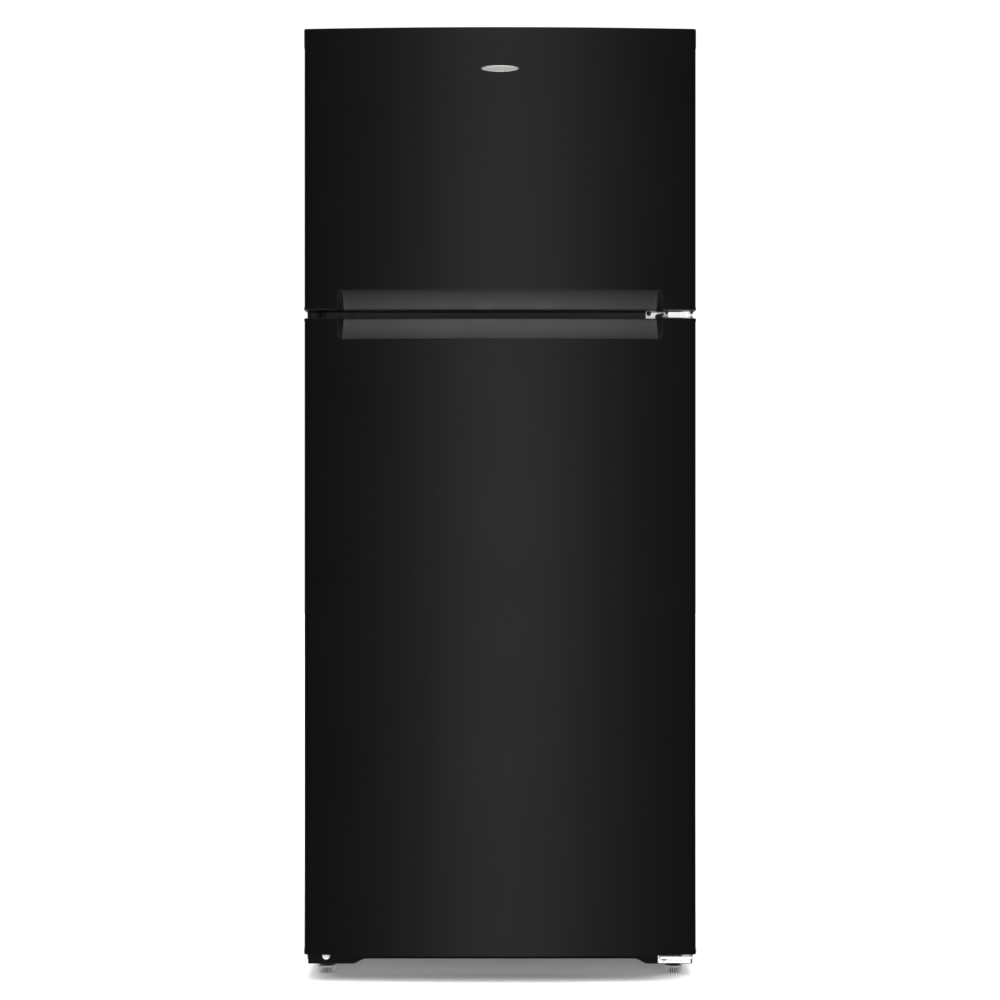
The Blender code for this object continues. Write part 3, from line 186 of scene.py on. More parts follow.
PAINT_GRAIN = (420.0, 3.0, 0.00007, 0.7)
MOULDED_GRAIN = (1500.0, 2.0, 0.00002, 0.5)
MATERIALS = {
    "door_paint": make_finish(
        "door_paint", (0.001, 0.001, 0.0011), 0.25, rough=(0.238, 0.262, 6.0),
        bump=(700.0, 2.0, 0.00003, 0.6)
    ),
    "black_steel": make_finish(
        "cabinet_paint", (0.003, 0.003, 0.0032), 0.38, rough=(0.34, 0.42, 5.0),
        bump=PAINT_GRAIN
    ),
    "frame_grey": make_finish(
        "frame_grey", (0.34, 0.34, 0.34), 0.5, rough=(0.44, 0.56, 12.0),
        wear=((0.36, 0.36, 0.36), (0.31, 0.31, 0.31), 20.0)
    ),
    "rail_paint": make_finish(
        "rail_paint", (0.0022, 0.0022, 0.0023), 0.5, rough=(0.46, 0.54, 5.0), bump=PAINT_GRAIN,
        Specular_IOR_Level=0.2
    ),
    "black_plastic": make_finish(
        "black_plastic", (0.004, 0.004, 0.0042), 0.33, rough=(0.3, 0.36, 20.0),
        bump=MOULDED_GRAIN
    ),
    "zinc_plate": make_finish(
        "zinc_plate", (0.94, 0.94, 0.93), 0.26, 0.3, rough=(0.22, 0.32, 90.0),
        wear=((0.94, 0.94, 0.93), (0.86, 0.86, 0.85), 160.0), bump=(600.0, 2.0, 0.00002, 0.4)
    ),
    "foot_zinc": make_finish(
        "foot_zinc", (0.54, 0.54, 0.53), 0.3, 0.6, rough=(0.26, 0.36, 120.0),
        wear=((0.56, 0.56, 0.55), (0.48, 0.48, 0.47), 140.0)
    ),
    "dark_zinc": make_finish(
        "dark_zinc", (0.34, 0.34, 0.33), 0.3, 1.0, rough=(0.24, 0.36, 300.0),
        wear=((0.38, 0.38, 0.37), (0.28, 0.28, 0.27), 400.0)
    ),
    # The mullion's black paint is several times lighter than the cabinet's, as painted light for the shaded
    # gap between the doors; the mullion's plug and the hinge-hole button use it too.
    "mullion_paint_painted_light": make_finish(
        "mullion_paint_painted_light", (0.014, 0.014, 0.0145), 0.42, rough=(0.38, 0.48, 8.0),
        bump=PAINT_GRAIN
    ),
    "white_liner": make_finish(
        "white_liner", (0.56, 0.57, 0.58), 0.3, rough=(0.27, 0.36, 9.0), bump=(180.0, 2.0, 0.00004, 0.4)
    ),
    "grey_plastic": make_finish(
        "grey_plastic", (0.33, 0.34, 0.35), 0.45, rough=(0.4, 0.52, 40.0), bump=MOULDED_GRAIN
    ),
    "clear_plastic": make_finish(
        "clear_plastic", (0.92, 0.95, 0.97), 0.06, rough=(0.04, 0.12, 25.0), bump=(60.0, 2.0, 0.0001, 0.25),
        Transmission_Weight=0.9, IOR=1.49
    ),
    "glass": make_finish(
        "shelf_glass", (0.86, 0.96, 0.92), 0.02, rough=(0.0, 0.05, 12.0), Transmission_Weight=1.0, IOR=1.5
    ),
    "gasket_rubber": make_finish(
        "gasket_rubber", (0.018, 0.018, 0.019), 0.62, rough=(0.55, 0.7, 60.0), bump=(900.0, 3.0, 0.00004, 0.5)
    ),
    "foam": make_finish(
        "foam", (0.36, 0.31, 0.2), 0.9, wear=((0.38, 0.33, 0.21), (0.3, 0.25, 0.15), 60.0),
        bump=(260.0, 5.0, 0.0008, 0.8)
    ),
    "copper_tube": make_finish(
        "copper_tube", (0.62, 0.3, 0.17), 0.32, 1.0, rough=(0.24, 0.45, 120.0),
        wear=((0.66, 0.33, 0.19), (0.4, 0.18, 0.1), 55.0)
    ),
    "aluminium": make_finish(
        "aluminium", (0.72, 0.73, 0.74), 0.36, 1.0, rough=(0.28, 0.46, 70.0), bump=(500.0, 3.0, 0.00003, 0.4)
    ),
    "compressor_black": make_finish(
        "compressor_black", (0.01, 0.01, 0.01), 0.38, rough=(0.3, 0.5, 30.0),
        bump=(300.0, 3.0, 0.0001, 0.6)
    ),
    "galvanised": make_finish(
        "galvanised", (0.56, 0.58, 0.59), 0.38, 1.0, rough=(0.28, 0.48, 45.0),
        wear=((0.6, 0.62, 0.63), (0.44, 0.46, 0.48), 70.0)
    ),
    "lamp_white": make_finish(
        "lamp_white", (0.9, 0.9, 0.87), 0.25, bump=(220.0, 1.0, 0.0002, 0.6), Transmission_Weight=0.3
    ),
    "badge_silver": make_finish("badge_silver", (0.74, 0.74, 0.72), 0.22, 1.0, rough=(0.18, 0.3, 300.0)),
}


# ---------------------------------------------------------------- mesh helpers
PLANES = {
    "XY": lambda u, v, w: (u, v, w),
    "XZ": lambda u, v, w: (u, w, v),
    "YZ": lambda u, v, w: (w, u, v),
}
TURN_TO = {
    "X": Matrix.Rotation(math.pi / 2, 3, "Y"),
    "Y": Matrix.Rotation(math.pi / 2, 3, "X"),
    "Z": Matrix.Identity(3),
}


def as_object(work, recalculate=True):
    """A new object of a bmesh's geometry."""
    if recalculate:
        bmesh.ops.recalc_face_normals(work, faces=work.faces)
    mesh = bpy.data.meshes.new("shape")
    work.to_mesh(mesh)
    work.free()
    obj = bpy.data.objects.new("shape", mesh)
    bpy.context.scene.collection.objects.link(obj)
    return obj


def around(count):
    """Evenly spaced angles of one whole turn."""
    return [math.tau * i / count for i in range(count)]


def evenly(start, end, count):
    """The ends of count equal steps from start to end."""
    return [start + (end - start) * i / count for i in range(count + 1)]


def span(edge, away, near, far):
    """The lower and the higher of two places, at distances from an edge to its side away."""
    return sorted((edge + away * near, edge + away * far))


def loft(rings, caps=True, joined=False):
    """Skin over rings that have the same number of points. joined runs back to the first ring."""
    work = bmesh.new()
    rows = [[work.verts.new(point) for point in ring] for ring in rings]
    pairs = list(zip(rows, rows[1:]))
    if joined:
        pairs.append((rows[-1], rows[0]))
    for first, second in pairs:
        count = len(first)
        for i in range(count):
            j = (i + 1) % count
            work.faces.new((first[i], first[j], second[j], second[i]))
    if caps:
        work.faces.new(rows[0][::-1])
        work.faces.new(rows[-1])
    return as_object(work)


def prism(points, low, high, plane="XY"):
    at = PLANES[plane]
    return loft([[at(u, v, w) for u, v in points] for w in (low, high)])


def turned(profile, centre, axis="Z", steps=48, ribs=0, ribbed=(), depth=0.0):
    """A closed shape turned about an axis, through (radius, height) points. The points numbered in ribbed
    get that many ribs round them, depth deep."""
    turn, centre = TURN_TO[axis], Vector(centre)
    rings = []
    for index, (radius, height) in enumerate(profile):
        ring = []
        for angle in around(steps):
            dent = depth * (0.5 - 0.5 * math.cos(angle * ribs)) if index in ribbed else 0.0
            r = max(radius, 0.00005) - dent
            ring.append(centre + turn @ Vector((r * math.cos(angle), r * math.sin(angle), height)))
        rings.append(ring)
    return loft(rings)


def rod(radius, low, high, chamfer=0.0, centre=(PIN_X, PIN_Y, 0.0), axis="Z", steps=48):
    """A round pin, washer or bore, with chamfered ends if asked. It stands on the doors' turning line unless
    it is given another."""
    if chamfer:
        inner = radius - chamfer
        profile = [(inner, low), (radius, low + chamfer), (radius, high - chamfer), (inner, high)]
    else:
        profile = [(radius, low), (radius, high)]
    return turned(profile, centre, axis, steps)


def box(low, high):
    """The bmesh of a plain box."""
    work = bmesh.new()
    bmesh.ops.create_cube(work, size=1.0)
    low, high = Vector(low), Vector(high)
    for vert in work.verts:
        vert.co = Vector((c * s for c, s in zip(vert.co, high - low))) + (low + high) / 2
    return work


def round_edges(work, edges, radius, segments):
    bmesh.ops.bevel(work, geom=edges, offset=radius, segments=segments, profile=0.5, affect="EDGES")


def block(low, high, radius=0.0, segments=3):
    """A box with all its edges rounded."""
    work = box(low, high)
    if radius:
        round_edges(work, work.edges[:], radius, segments)
    return as_object(work)


def turned_block(low, high, place, angle):
    """A plain box turned about Y, then moved."""
    made = block(low, high)
    made.matrix_world = Matrix.Translation(place) @ Matrix.Rotation(angle, 4, "Y")
    return made


def merged(*objects):
    """One object of several that don't touch, or that only meet inside one another."""
    work = bmesh.new()
    for obj in objects:
        obj.data.transform(obj.matrix_world)
        work.from_mesh(obj.data)
        bpy.data.objects.remove(obj)
    return as_object(work, recalculate=False)


def evaluated_mesh(obj):
    bpy.context.view_layer.update()
    graph = bpy.context.evaluated_depsgraph_get()
    return bpy.data.meshes.new_from_object(obj.evaluated_get(graph))


def bake(obj):
    """Applies an object's modifiers."""
    mesh = evaluated_mesh(obj)
    obj.modifiers.clear()
    obj.data = mesh
    return obj


def combine(operation, obj, others):
    for other in others:
        modifier = obj.modifiers.new("combine", "BOOLEAN")
        modifier.operation = operation
        modifier.solver = "EXACT"
        modifier.object = other
    bake(obj)
    for other in others:
        bpy.data.objects.remove(other)
    return obj


def union(obj, *others):
    return combine("UNION", obj, others)


def subtract(obj, *others):
    return combine("DIFFERENCE", obj, others)


def thicken(obj, thickness):
    modifier = obj.modifiers.new("thicken", "SOLIDIFY")
    modifier.thickness = thickness
    modifier.offset = -1
    modifier.use_even_offset = True
    return obj


def soften(obj, width, segments=2):
    modifier = obj.modifiers.new("soften", "BEVEL")
    modifier.width = width
    modifier.segments = segments
    modifier.limit_method = "ANGLE"
    modifier.angle_limit = math.radians(32)
    modifier.harden_normals = True
    return obj


def smooth(obj, sharp=35):
    for face in obj.data.polygons:
        face.use_smooth = True
    obj.data.set_sharp_from_angle(angle=math.radians(sharp))
    return obj


def arc(centre, radius, start, end, steps, tall=None):
    """Points of an arc, in degrees, or of an ellipse's where tall gives its other radius."""
    tall = tall or radius
    turns = [math.radians(angle) for angle in evenly(start, end, steps)]
    return [(centre[0] + radius * math.cos(a), centre[1] + tall * math.sin(a)) for a in turns]


def rounded_outline(points, radius, steps=5):
    """An outline with each corner rounded. radius is one number, or one for each point."""
    radii = radius if isinstance(radius, (list, tuple)) else [radius] * len(points)
    made = []
    for i, (point, r) in enumerate(zip(points, radii)):
        here = Vector(point)
        back = (Vector(points[i - 1]) - here).normalized()
        ahead = (Vector(points[(i + 1) % len(points)]) - here).normalized()
        if r <= 0:
            made.append(tuple(here))
            continue
        half = back.angle(ahead) / 2
        reach = r / math.tan(half)
        start, end = here + back * reach, here + ahead * reach
        centre = here + (back + ahead).normalized() * (r / math.sin(half))
        first, last = start - centre, end - centre
        for step in range(steps + 1):
            ray = first.lerp(last, step / steps).normalized() * r
            made.append(tuple(centre + ray))
    return made


def rectangle(low_u, low_v, high_u, high_v):
    return [(low_u, low_v), (high_u, low_v), (high_u, high_v), (low_u, high_v)]


def round_plate(low_u, low_v, high_u, high_v, low, high, plane, radius):
    return prism(rounded_outline(rectangle(low_u, low_v, high_u, high_v), radius), low, high, plane)


def tube(points, radius, resolution, closed=False):
    curve = bpy.data.curves.new("tube", "CURVE")
    curve.dimensions = "3D"
    curve.bevel_depth = radius
    curve.bevel_resolution = resolution
    curve.use_fill_caps = True
    spline = curve.splines.new("POLY")
    spline.points.add(len(points) - 1)
    for target, point in zip(spline.points, points):
        target.co = (*point, 1)
    spline.use_cyclic_u = closed
    drawn = bpy.data.objects.new("tube", curve)
    bpy.context.scene.collection.objects.link(drawn)
    work = bmesh.new()
    work.from_mesh(evaluated_mesh(drawn))
    bpy.data.objects.remove(drawn)
    bmesh.ops.remove_doubles(work, verts=work.verts, dist=1e-6)
    return as_object(work)


def framed(section, half, low, high):
    """A section of (inset, y) points swept round an upright rectangle with mitred corners."""
    corners = ((-1, low, 1), (1, low, 1), (1, high, -1), (-1, high, -1))
    rings = [[(sign * (half - inset), y, z + up * inset) for inset, y in section] for sign, z, up in corners]
    return loft(rings, caps=False, joined=True)


def trim(obj, name, node, material, edge, segments=2, sharp=35):
    """A further piece that goes with a CAD node."""
    smooth(obj, sharp)
    if edge:
        soften(obj, edge, segments)
    obj.name = name
    obj.data.name = name
    obj.data.materials.clear()
    obj.data.materials.append(MATERIALS[material])
    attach(obj, BODY_OF[node])
    return obj


def piece(obj, node, edge=0.0, segments=2, sharp=35, material=None):
    """The detailed piece that stands for a CAD node, on that node's body and in its finish."""
    trim(obj, node + "_detailed", node, material or SLOTS[node], edge, segments, sharp)
    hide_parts(node)
    return obj


# ---------------------------------------------------------------- doors
def bow_y(x):
    """Where the front surface of a door is at x."""
    return Y_CROWN + BOW_RADIUS - math.sqrt(BOW_RADIUS**2 - x**2)


def door_path(inset=0.0, y_back=Y_DOOR_BACK, extra=()):
    """A door's plan from its left rear corner round the bowed front to its right rear corner. extra are
    places across the front that get a point of their own."""
    corner, steps = 0.005, 72
    half = X_BODY - inset
    radius = max(corner - inset, 0.001)
    y_corner = bow_y(half - radius) + inset + radius
    across = [(half - radius) * (2 * i / steps - 1) for i in range(1, steps)]
    across = [x for x in across if all(abs(x - other) > 0.002 for other in extra)]
    front = [(x, bow_y(x) + inset) for x in sorted([*across, *extra])]
    left = arc((-half + radius, y_corner), radius, 180, 267, 7)
    right = arc((half - radius, y_corner), radius, 273, 360, 7)
    return [(-half, y_back), *left, *front, *right, (half, y_back)]


def notch_depth(x, height):
    """How far a grip's notch reaches from the door's edge at x."""
    past = max(abs(x) - (GRIP_HALF - GRIP_CORNER), 0.0)
    return height - GRIP_CORNER + math.sqrt(max(GRIP_CORNER**2 - past**2, 0.0))


def door_skin(low, high, grip, away, low_ear, high_ear):
    """The bowed steel skin of a door, with its grip's notch and the steps for its end caps' ears. away is +1
    where the grip is along the lower edge."""
    turns = [math.radians(90 * i / 7) for i in range(8)]
    marks = [GRIP_HALF - GRIP_CORNER + GRIP_CORNER * math.sin(a) for a in turns]
    path = door_path(extra=[*(-x for x in marks), *marks])
    ear_y = Y_EDGE + 0.0062
    hem = X_BODY - 0.006
    path = [(-hem, Y_DOOR_BACK), path[0], (-X_BODY, ear_y), *path[1:-1], (X_BODY, ear_y), path[-1],
            (hem, Y_DOOR_BACK)]
    lip = LIP - REVEAL
    spans = []
    for a, b in zip(path, path[1:]):
        ends = []
        for x, y in (a, b):
            bottom, top = low, high
            if a[1] > ear_y - 1e-6 and b[1] > ear_y - 1e-6:
                bottom, top = low + low_ear - lip, high - high_ear + lip
            elif max(abs(a[0]), abs(b[0])) <= GRIP_HALF + 1e-6:
                if away > 0:
                    bottom = low + notch_depth(x, grip) - LIP
                else:
                    top = high - notch_depth(x, grip) + LIP
            ends.append((bottom, top))
        spans.append(ends)
    heights = [set() for _ in path]
    for i, (first, second) in enumerate(spans):
        heights[i].update(first)
        heights[i + 1].update(second)
    work = bmesh.new()
    verts = [{z: work.verts.new((x, y, z)) for z in sorted(zs)} for (x, y), zs in zip(path, heights)]
    for i, (first, second) in enumerate(spans):
        left = [verts[i][z] for z in sorted(heights[i]) if first[0] <= z <= first[1]]
        right = [verts[i + 1][z] for z in sorted(heights[i + 1], reverse=True) if second[0] <= z <= second[1]]
        work.faces.new(left[:1] + right[::-1][:1] + right[::-1][1:] + left[::-1][:-1])
    return thicken(as_object(work, recalculate=False), SKIN)


def swept_along_bow(profile, stations):
    """Sweeps a (depth, height) profile along the bow. Each station is (x, how much of the depth it has)."""
    return loft([[(x, bow_y(x) + depth * share, z) for depth, z in profile] for x, share in stations])


def scoop(edge_z, away, height):
    """What a grip's scoop takes away from its block, with filleted ends."""
    ahead, steps = 0.02, 16
    half = (height - 2 * LIP) / 2
    start = Vector((GRIP_STEP, height - LIP))
    control = start + Vector((GRIP_SLOPES[0] * half, -half))
    end = control + Vector((GRIP_SLOPES[1] * half, -half))
    profile = [(-ahead, height - LIP)]
    for t in evenly(0, 1, steps):
        point = start * (1 - t) ** 2 + control * 2 * t * (1 - t) + end * t**2
        profile.append((point.x, point.y))
    profile += [(end.x, -ahead), (-ahead, -ahead)]
    cheek = GRIP_CHEEK_OUT - GRIP_CHEEK_IN
    shares = []
    for t in (0.02, 0.2, 0.4, 0.6, 0.8, 0.86, 0.9, 0.94, 0.98, 1.02, 1.06, 1.1, 1.14, 1.18):
        past = max(t - 0.82, 0.0)
        shares.append((GRIP_CHEEK_OUT - cheek * t, t - past**2 / 0.72))
    middle = shares[-1][0]
    stations = [(-x, share) for x, share in shares]
    stations += [(middle * (2 * i / 48 - 1), 1.0) for i in range(1, 48)]
    stations += [(x, share) for x, share in reversed(shares)]
    return swept_along_bow([(d, edge_z + away * z) for d, z in profile], stations)


def ears(edge_z, away, reach, tip):
    """The two side pads of an end cap that show beside the skin, tapered at the end of their reach."""
    y_front, y_back = Y_EDGE + 0.0065, Y_DOOR_BACK
    edge, far = edge_z, edge_z + away * reach
    outline = [(y_front, edge), (y_back, edge), (y_back, far), (y_front, far)]
    outline = rounded_outline(outline, [min(0.002, reach / 3)] * 3 + [min(0.006, reach / 2)], 5)
    mid_y, mid_z = (y_front + y_back) / 2, (edge + far) / 2
    shrink_y, shrink_z = 1 - 2 * tip / (y_back - y_front), 1 - 2 * tip / reach
    tipped = [(mid_y + (y - mid_y) * shrink_y, mid_z + (z - mid_z) * shrink_z) for y, z in outline]
    made = []
    for sign in (-1, 1):
        rings = ((X_BODY - 0.006, outline), (X_CAP - tip, outline), (X_CAP, tipped))
        made.append(loft([[(sign * x, y, z) for y, z in ring] for x, ring in rings]))
    return made


def handle_cap(edge_z, away, height):
    """The end cap with the recessed grip: scooped in front, grooved behind the lip."""
    cap = prism(door_path(SHEET + FIT), *span(edge_z, away, 0, CAP_TALL))
    low, high = span(edge_z, away, 0, height - FIT)
    front = prism(door_path(0.0002, y_back=GROOVE_BACK + 0.004), low, high)
    half, corner = GRIP_HALF - FIT, GRIP_CORNER - FIT
    near, far = edge_z - away * 0.002, edge_z + away * (height - FIT)
    outline = [(-half, near), (half, near), (half, far), (-half, far)]
    outline = rounded_outline(outline, [0, 0, corner, corner], 8)
    combine("INTERSECT", front, [prism(outline, -0.4, -0.3, "XZ")])
    union(cap, front, *ears(edge_z, away, EAR_LOW, 0.0008))
    groove = span(edge_z, away, -0.01, height - 0.017)
    corners = (-GROOVE_HALF, GROOVE_FRONT, groove[0]), (GROOVE_HALF, GROOVE_BACK, groove[1])
    finger_room = block(*corners, 0.004, 4)
    bore = rod(PIN_HOLE_R, *span(edge_z, away, -0.004, CAP_TALL + 0.002))
    return subtract(cap, scoop(edge_z, away, height), finger_room, bore)


def inner_door(low, high, dike_low, dike_high):
    """White inner panel of a door: a flange with a raised, rounded rim for the bins."""
    y_flange = Y_DOOR_BACK + 0.0028
    flange = round_plate(-X_BODY + 0.005, low, X_BODY - 0.005, high, Y_DOOR_BACK + FIT, y_flange, "XZ", 0.006)
    rim, wall = 0.286, 0.023
    outer = block((-rim, y_flange - 0.02, dike_low), (rim, y_flange + 0.044, dike_high), 0.012, 5)
    keep = block((-0.4, y_flange - 0.001, 0.0), (0.4, 0.0, 2.0))
    combine("INTERSECT", outer, [keep])
    half = rim - wall
    corners = (-half, y_flange + 0.0002, dike_low + wall), (half, y_flange + 0.09, dike_high - wall)
    return union(flange, subtract(outer, block(*corners, 0.009, 4)))


def gasket(low, high):
    """Magnetic seal with a folded bellows, in a mitred frame."""
    near, far = Y_DOOR_BACK + 0.0031, Y_CABINET - FIT
    deep = far - near
    side = [(0.0004, 0.0), (0.0002, 0.16), (0.003, 0.36), (0.0006, 0.56), (0.0004, 0.86), (0.0016, 1.0)]
    section = [(inset, near + deep * share) for inset, share in side]
    section += [(0.014 - inset, near + deep * share) for inset, share in reversed(side)]
    return framed(section, 0.3325, low, high)


def tray(low, high, wall, radius, open_face="top", lip=0.0):
    """A thin-walled moulded tray with rounded edges and, if asked, a turned lip round its mouth."""
    work = box(low, high)
    axis = {"top": 2, "back": 1}[open_face]
    bmesh.ops.recalc_face_normals(work, faces=work.faces)
    lid = [face for face in work.faces if face.normal[axis] > 0.9]
    bmesh.ops.delete(work, geom=lid, context="FACES_ONLY")
    round_edges(work, [edge for edge in work.edges if len(edge.link_faces) == 2], radius, 5)
    obj = bake(thicken(as_object(work, recalculate=False), wall))
    if not lip:
        return obj
    (x_low, y_low, _), (x_high, y_high, rim) = low, high
    outer = rounded_outline(rectangle(x_low, y_low, x_high, y_high), radius, 6)
    mouth = rectangle(x_low + lip, y_low + lip, x_high - lip, y_high - lip)
    mouth = rounded_outline(mouth, max(radius - lip, 0.002), 6)
    ring = subtract(prism(outer, rim - lip * 1.4, rim), prism(mouth, rim - 0.02, rim + 0.01))
    return union(obj, ring)


def door_bin(low, high, front_height):
    """A clear bin with a thick rim, lower in front, and two ribs across its face."""
    front, edge, top = -0.205, low + front_height, high + 0.02
    made = tray((-BIN_HALF, BIN_BACK, low), (BIN_HALF, front, high), BIN_WALL, 0.008)
    gap = [(-0.23, edge), (0.23, edge), (0.236, top), (-0.236, top)]
    gap = rounded_outline(gap, [0.01, 0.01, 0, 0], 6)
    subtract(made, prism(gap, front - 0.02, front + 0.02, "XZ"))
    ribs = []
    for share in (0.3, 0.86):
        z = low + front_height * share
        ribs.append(block((-0.226, front - 0.004, z), (0.226, front - 0.0012, z + 0.004), 0.001, 2))
    return union(made, *ribs)


def build_freezer_door():
    edge, grip = Z_FREEZER_BOTTOM, FREEZER_GRIP
    skin = door_skin(edge + LIP, Z_TOP - REVEAL, grip, 1, EAR_LOW + FIT, EAR_TOP + FIT)
    piece(skin, "freezer_door_skin", 0.0007, 4, material="door_paint")

    crown, shelf, back = 0.012, Z_CABINET_TOP - 0.003, -0.28
    top = prism(door_path(SHEET + FIT), Z_TOP - EAR_TOP, Z_TOP - REVEAL)
    union(top, *ears(Z_TOP, -1, EAR_TOP, 0.0009))
    subtract(top, prism(door_path(SHEET + FIT + crown, y_back=back), shelf, Z_TOP + 0.01),
             block((-0.4, Y_EDGE + crown, shelf), (0.4, back, Z_TOP + 0.01)),
             rod(PIN_HOLE_R, Z_TOP - EAR_TOP - 0.002, shelf + 0.002))
    piece(top, "freezer_door_top_cap", 0.0006)
    piece(handle_cap(edge, 1, grip), "freezer_door_handle_cap", 0.0004, 2, 40)
    piece(inner_door(edge + 0.004, 1.674, 1.244, 1.62), "freezer_door_liner", 0.0008)
    piece(gasket(1.207, 1.672), "freezer_gasket", 0.0003)
    for name, low in (("lower", 1.27), ("upper", 1.436)):
        piece(door_bin(low, low + 0.085, 0.06), f"freezer_bin_{name}", 0.0006)
    build_badge()


def build_badge():
    """A plain domed oval plate with a raised edge."""
    half, tall = 0.034, 0.0055
    rings = []
    for share, raised in ((1.0, -FIT), (1.0, -0.0008), (0.985, -0.0011), (0.94, -RAISED_BADGE),
                          (0.88, -0.0009)):
        ring = []
        for a in around(96):
            edge = half * share if share > 0.9 else half * 0.965 * share / 0.88
            x = edge * math.cos(a)
            z = (tall - half * (1 - share) * 0.8 if share < 1 else tall) * math.sin(a)
            ring.append((x, bow_y(x) + raised, Z_BADGE + z))
        rings.append(ring)
    piece(loft(rings), "door_badge", sharp=60)


def build_fridge_door():
    edge, grip, low_edge = Z_FRIDGE_TOP, FRIDGE_GRIP, Z_FRIDGE_BOTTOM
    skin = door_skin(low_edge + 0.0004, edge - LIP, grip, -1, EAR_BOTTOM + FIT, EAR_LOW + FIT)
    piece(skin, "fridge_door_skin", 0.0007, 4, material="door_paint")
    piece(handle_cap(edge, -1, grip), "fridge_door_handle_cap", 0.0004, 2, 40)

    bottom = prism(door_path(SHEET + FIT), low_edge, low_edge + CAP_TALL)
    corners = (0.3165, Y_EDGE + 0.008, low_edge - 0.0045), (0.3207, Y_EDGE + 0.016, low_edge + 0.002)
    union(bottom, block(*corners, 0.0008), *ears(low_edge, 1, EAR_BOTTOM, 0.0008))
    bore = rod(PIN_HOLE_R, low_edge - 0.002, low_edge + CAP_TALL + 0.002)
    piece(subtract(bottom, bore), "fridge_door_bottom_cap", 0.0006)

    piece(inner_door(low_edge + 0.006, edge - 0.004, 0.136, 1.138), "fridge_door_liner", 0.0008)
    piece(gasket(0.064, 1.177), "fridge_gasket", 0.0003)
    piece(door_bin(0.163, 0.283, 0.08), "fridge_bin_lower", 0.0006)
    piece(door_bin(0.57, 0.66, 0.062), "fridge_bin_upper", 0.0006)

    low, high, front = 0.95, 1.05, -0.215
    case = tray((-BIN_HALF, BIN_BACK, low), (BIN_HALF, front, high), BIN_WALL, 0.006, "back")
    piece(case, "dairy_box", 0.0005)
    y, half, top = front + 0.0006, 0.257, high + 0.0035
    lid = round_plate(-half, low + 0.004, half, top, y, y + BIN_WALL, "XZ", 0.004)
    roof = block((-half, y - 0.012, high + 0.001), (half, y + BIN_WALL, top), 0.0008)
    grip_bar = block((-0.06, y + 0.001, low + 0.006), (0.06, y + 0.01, low + 0.009), 0.001)
    piece(union(lid, roof, grip_bar), "dairy_lid", 0.0006)


# ---------------------------------------------------------------- cabinet and front fittings
def folded_sheet(outer, flange, inner):
    """The section of a panel that is folded in along the cabinet's front, as (across, depth) points."""
    fold = Y_CABINET + SHEET
    outline = [(outer, Y_SHELL_END), (outer, Y_CABINET), (flange, Y_CABINET), (flange, fold), (inner, fold)]
    return rounded_outline([*outline, (inner, Y_SHELL_END)], [0, 0.0022, 0, 0, 0.0012, 0], 6)


def build_cabinet():
    inside = X_BODY - SHEET
    for side, sign in (("left", -1), ("right", 1)):
        outline = folded_sheet(sign * X_BODY, sign * X_FLANGE, sign * inside)
        panel = prism(outline, Z_CABINET_BOTTOM, Z_CABINET_TOP)
        low, high = span(0, sign, X_FLANGE - 0.01, inside)
        room = block((low, Y_CABINET - 0.01, 0.0), (high, Y_CABINET + 0.002, Z_RAIL_TOP))
        piece(subtract(panel, room), f"side_panel_{side}", 0.00025)

    outline = folded_sheet(Z_CABINET_TOP, Z_CABINET_TOP - TOP_FLANGE, Z_CABINET_TOP - SHEET)
    half = inside - FIT
    top = prism([(y, z) for z, y in outline], -half, half, "YZ")
    rooms = []
    for sign in (-1, 1):
        low, high = span(0, sign, 0.4, X_FLANGE - FIT)
        rooms.append(block((low, Y_CABINET - 0.01, 1.6), (high, Y_CABINET + 0.0013, 1.7)))
    piece(subtract(top, *rooms), "top_panel", 0.00025)

    half = X_FLANGE - FIT
    rail = prism(rectangle(-half, MULLION_BOTTOM, half, MULLION_TOP), Y_CABINET, Y_CABINET + PLATE, "XZ")
    behind = X_FLANGE + 0.002
    tail = rectangle(-behind, MULLION_BOTTOM, behind, MULLION_TOP)
    rail = union(rail, prism(tail, Y_CABINET + SHEET + FIT, Y_CABINET + PLATE, "XZ"))
    piece(rail, "mullion_rail", 0.0004, material="mullion_paint_painted_light")
    build_front_rail()
    build_rear_panel()


def build_front_rail():
    """The rail under the fridge compartment, with a leg at each end that slopes up in a shallow S."""
    half = X_BODY - SHEET - FIT
    corner, slope_out, slope_in, steps = 0.0025, 0.268, 0.243, 12
    outline = [(-half, Z_RAIL_TOP - FIT), (-half, Z_LEG + corner)]
    outline += arc((-half + corner, Z_LEG + corner), corner, 180, 270, 5)
    for share in evenly(0, 1, steps):
        rise = (1 - math.cos(math.pi * share)) / 2
        x = -slope_out + (slope_out - slope_in) * share
        outline.append((x, Z_LEG + (Z_CABINET_BOTTOM - Z_LEG) * rise))
    outline += [(-x, z) for x, z in reversed(outline)]
    rail = prism(outline, Y_CABINET, Y_CABINET + PLATE, "XZ")
    piece(rail, "base_front_rail", 0.0005, 3, material="rail_paint")


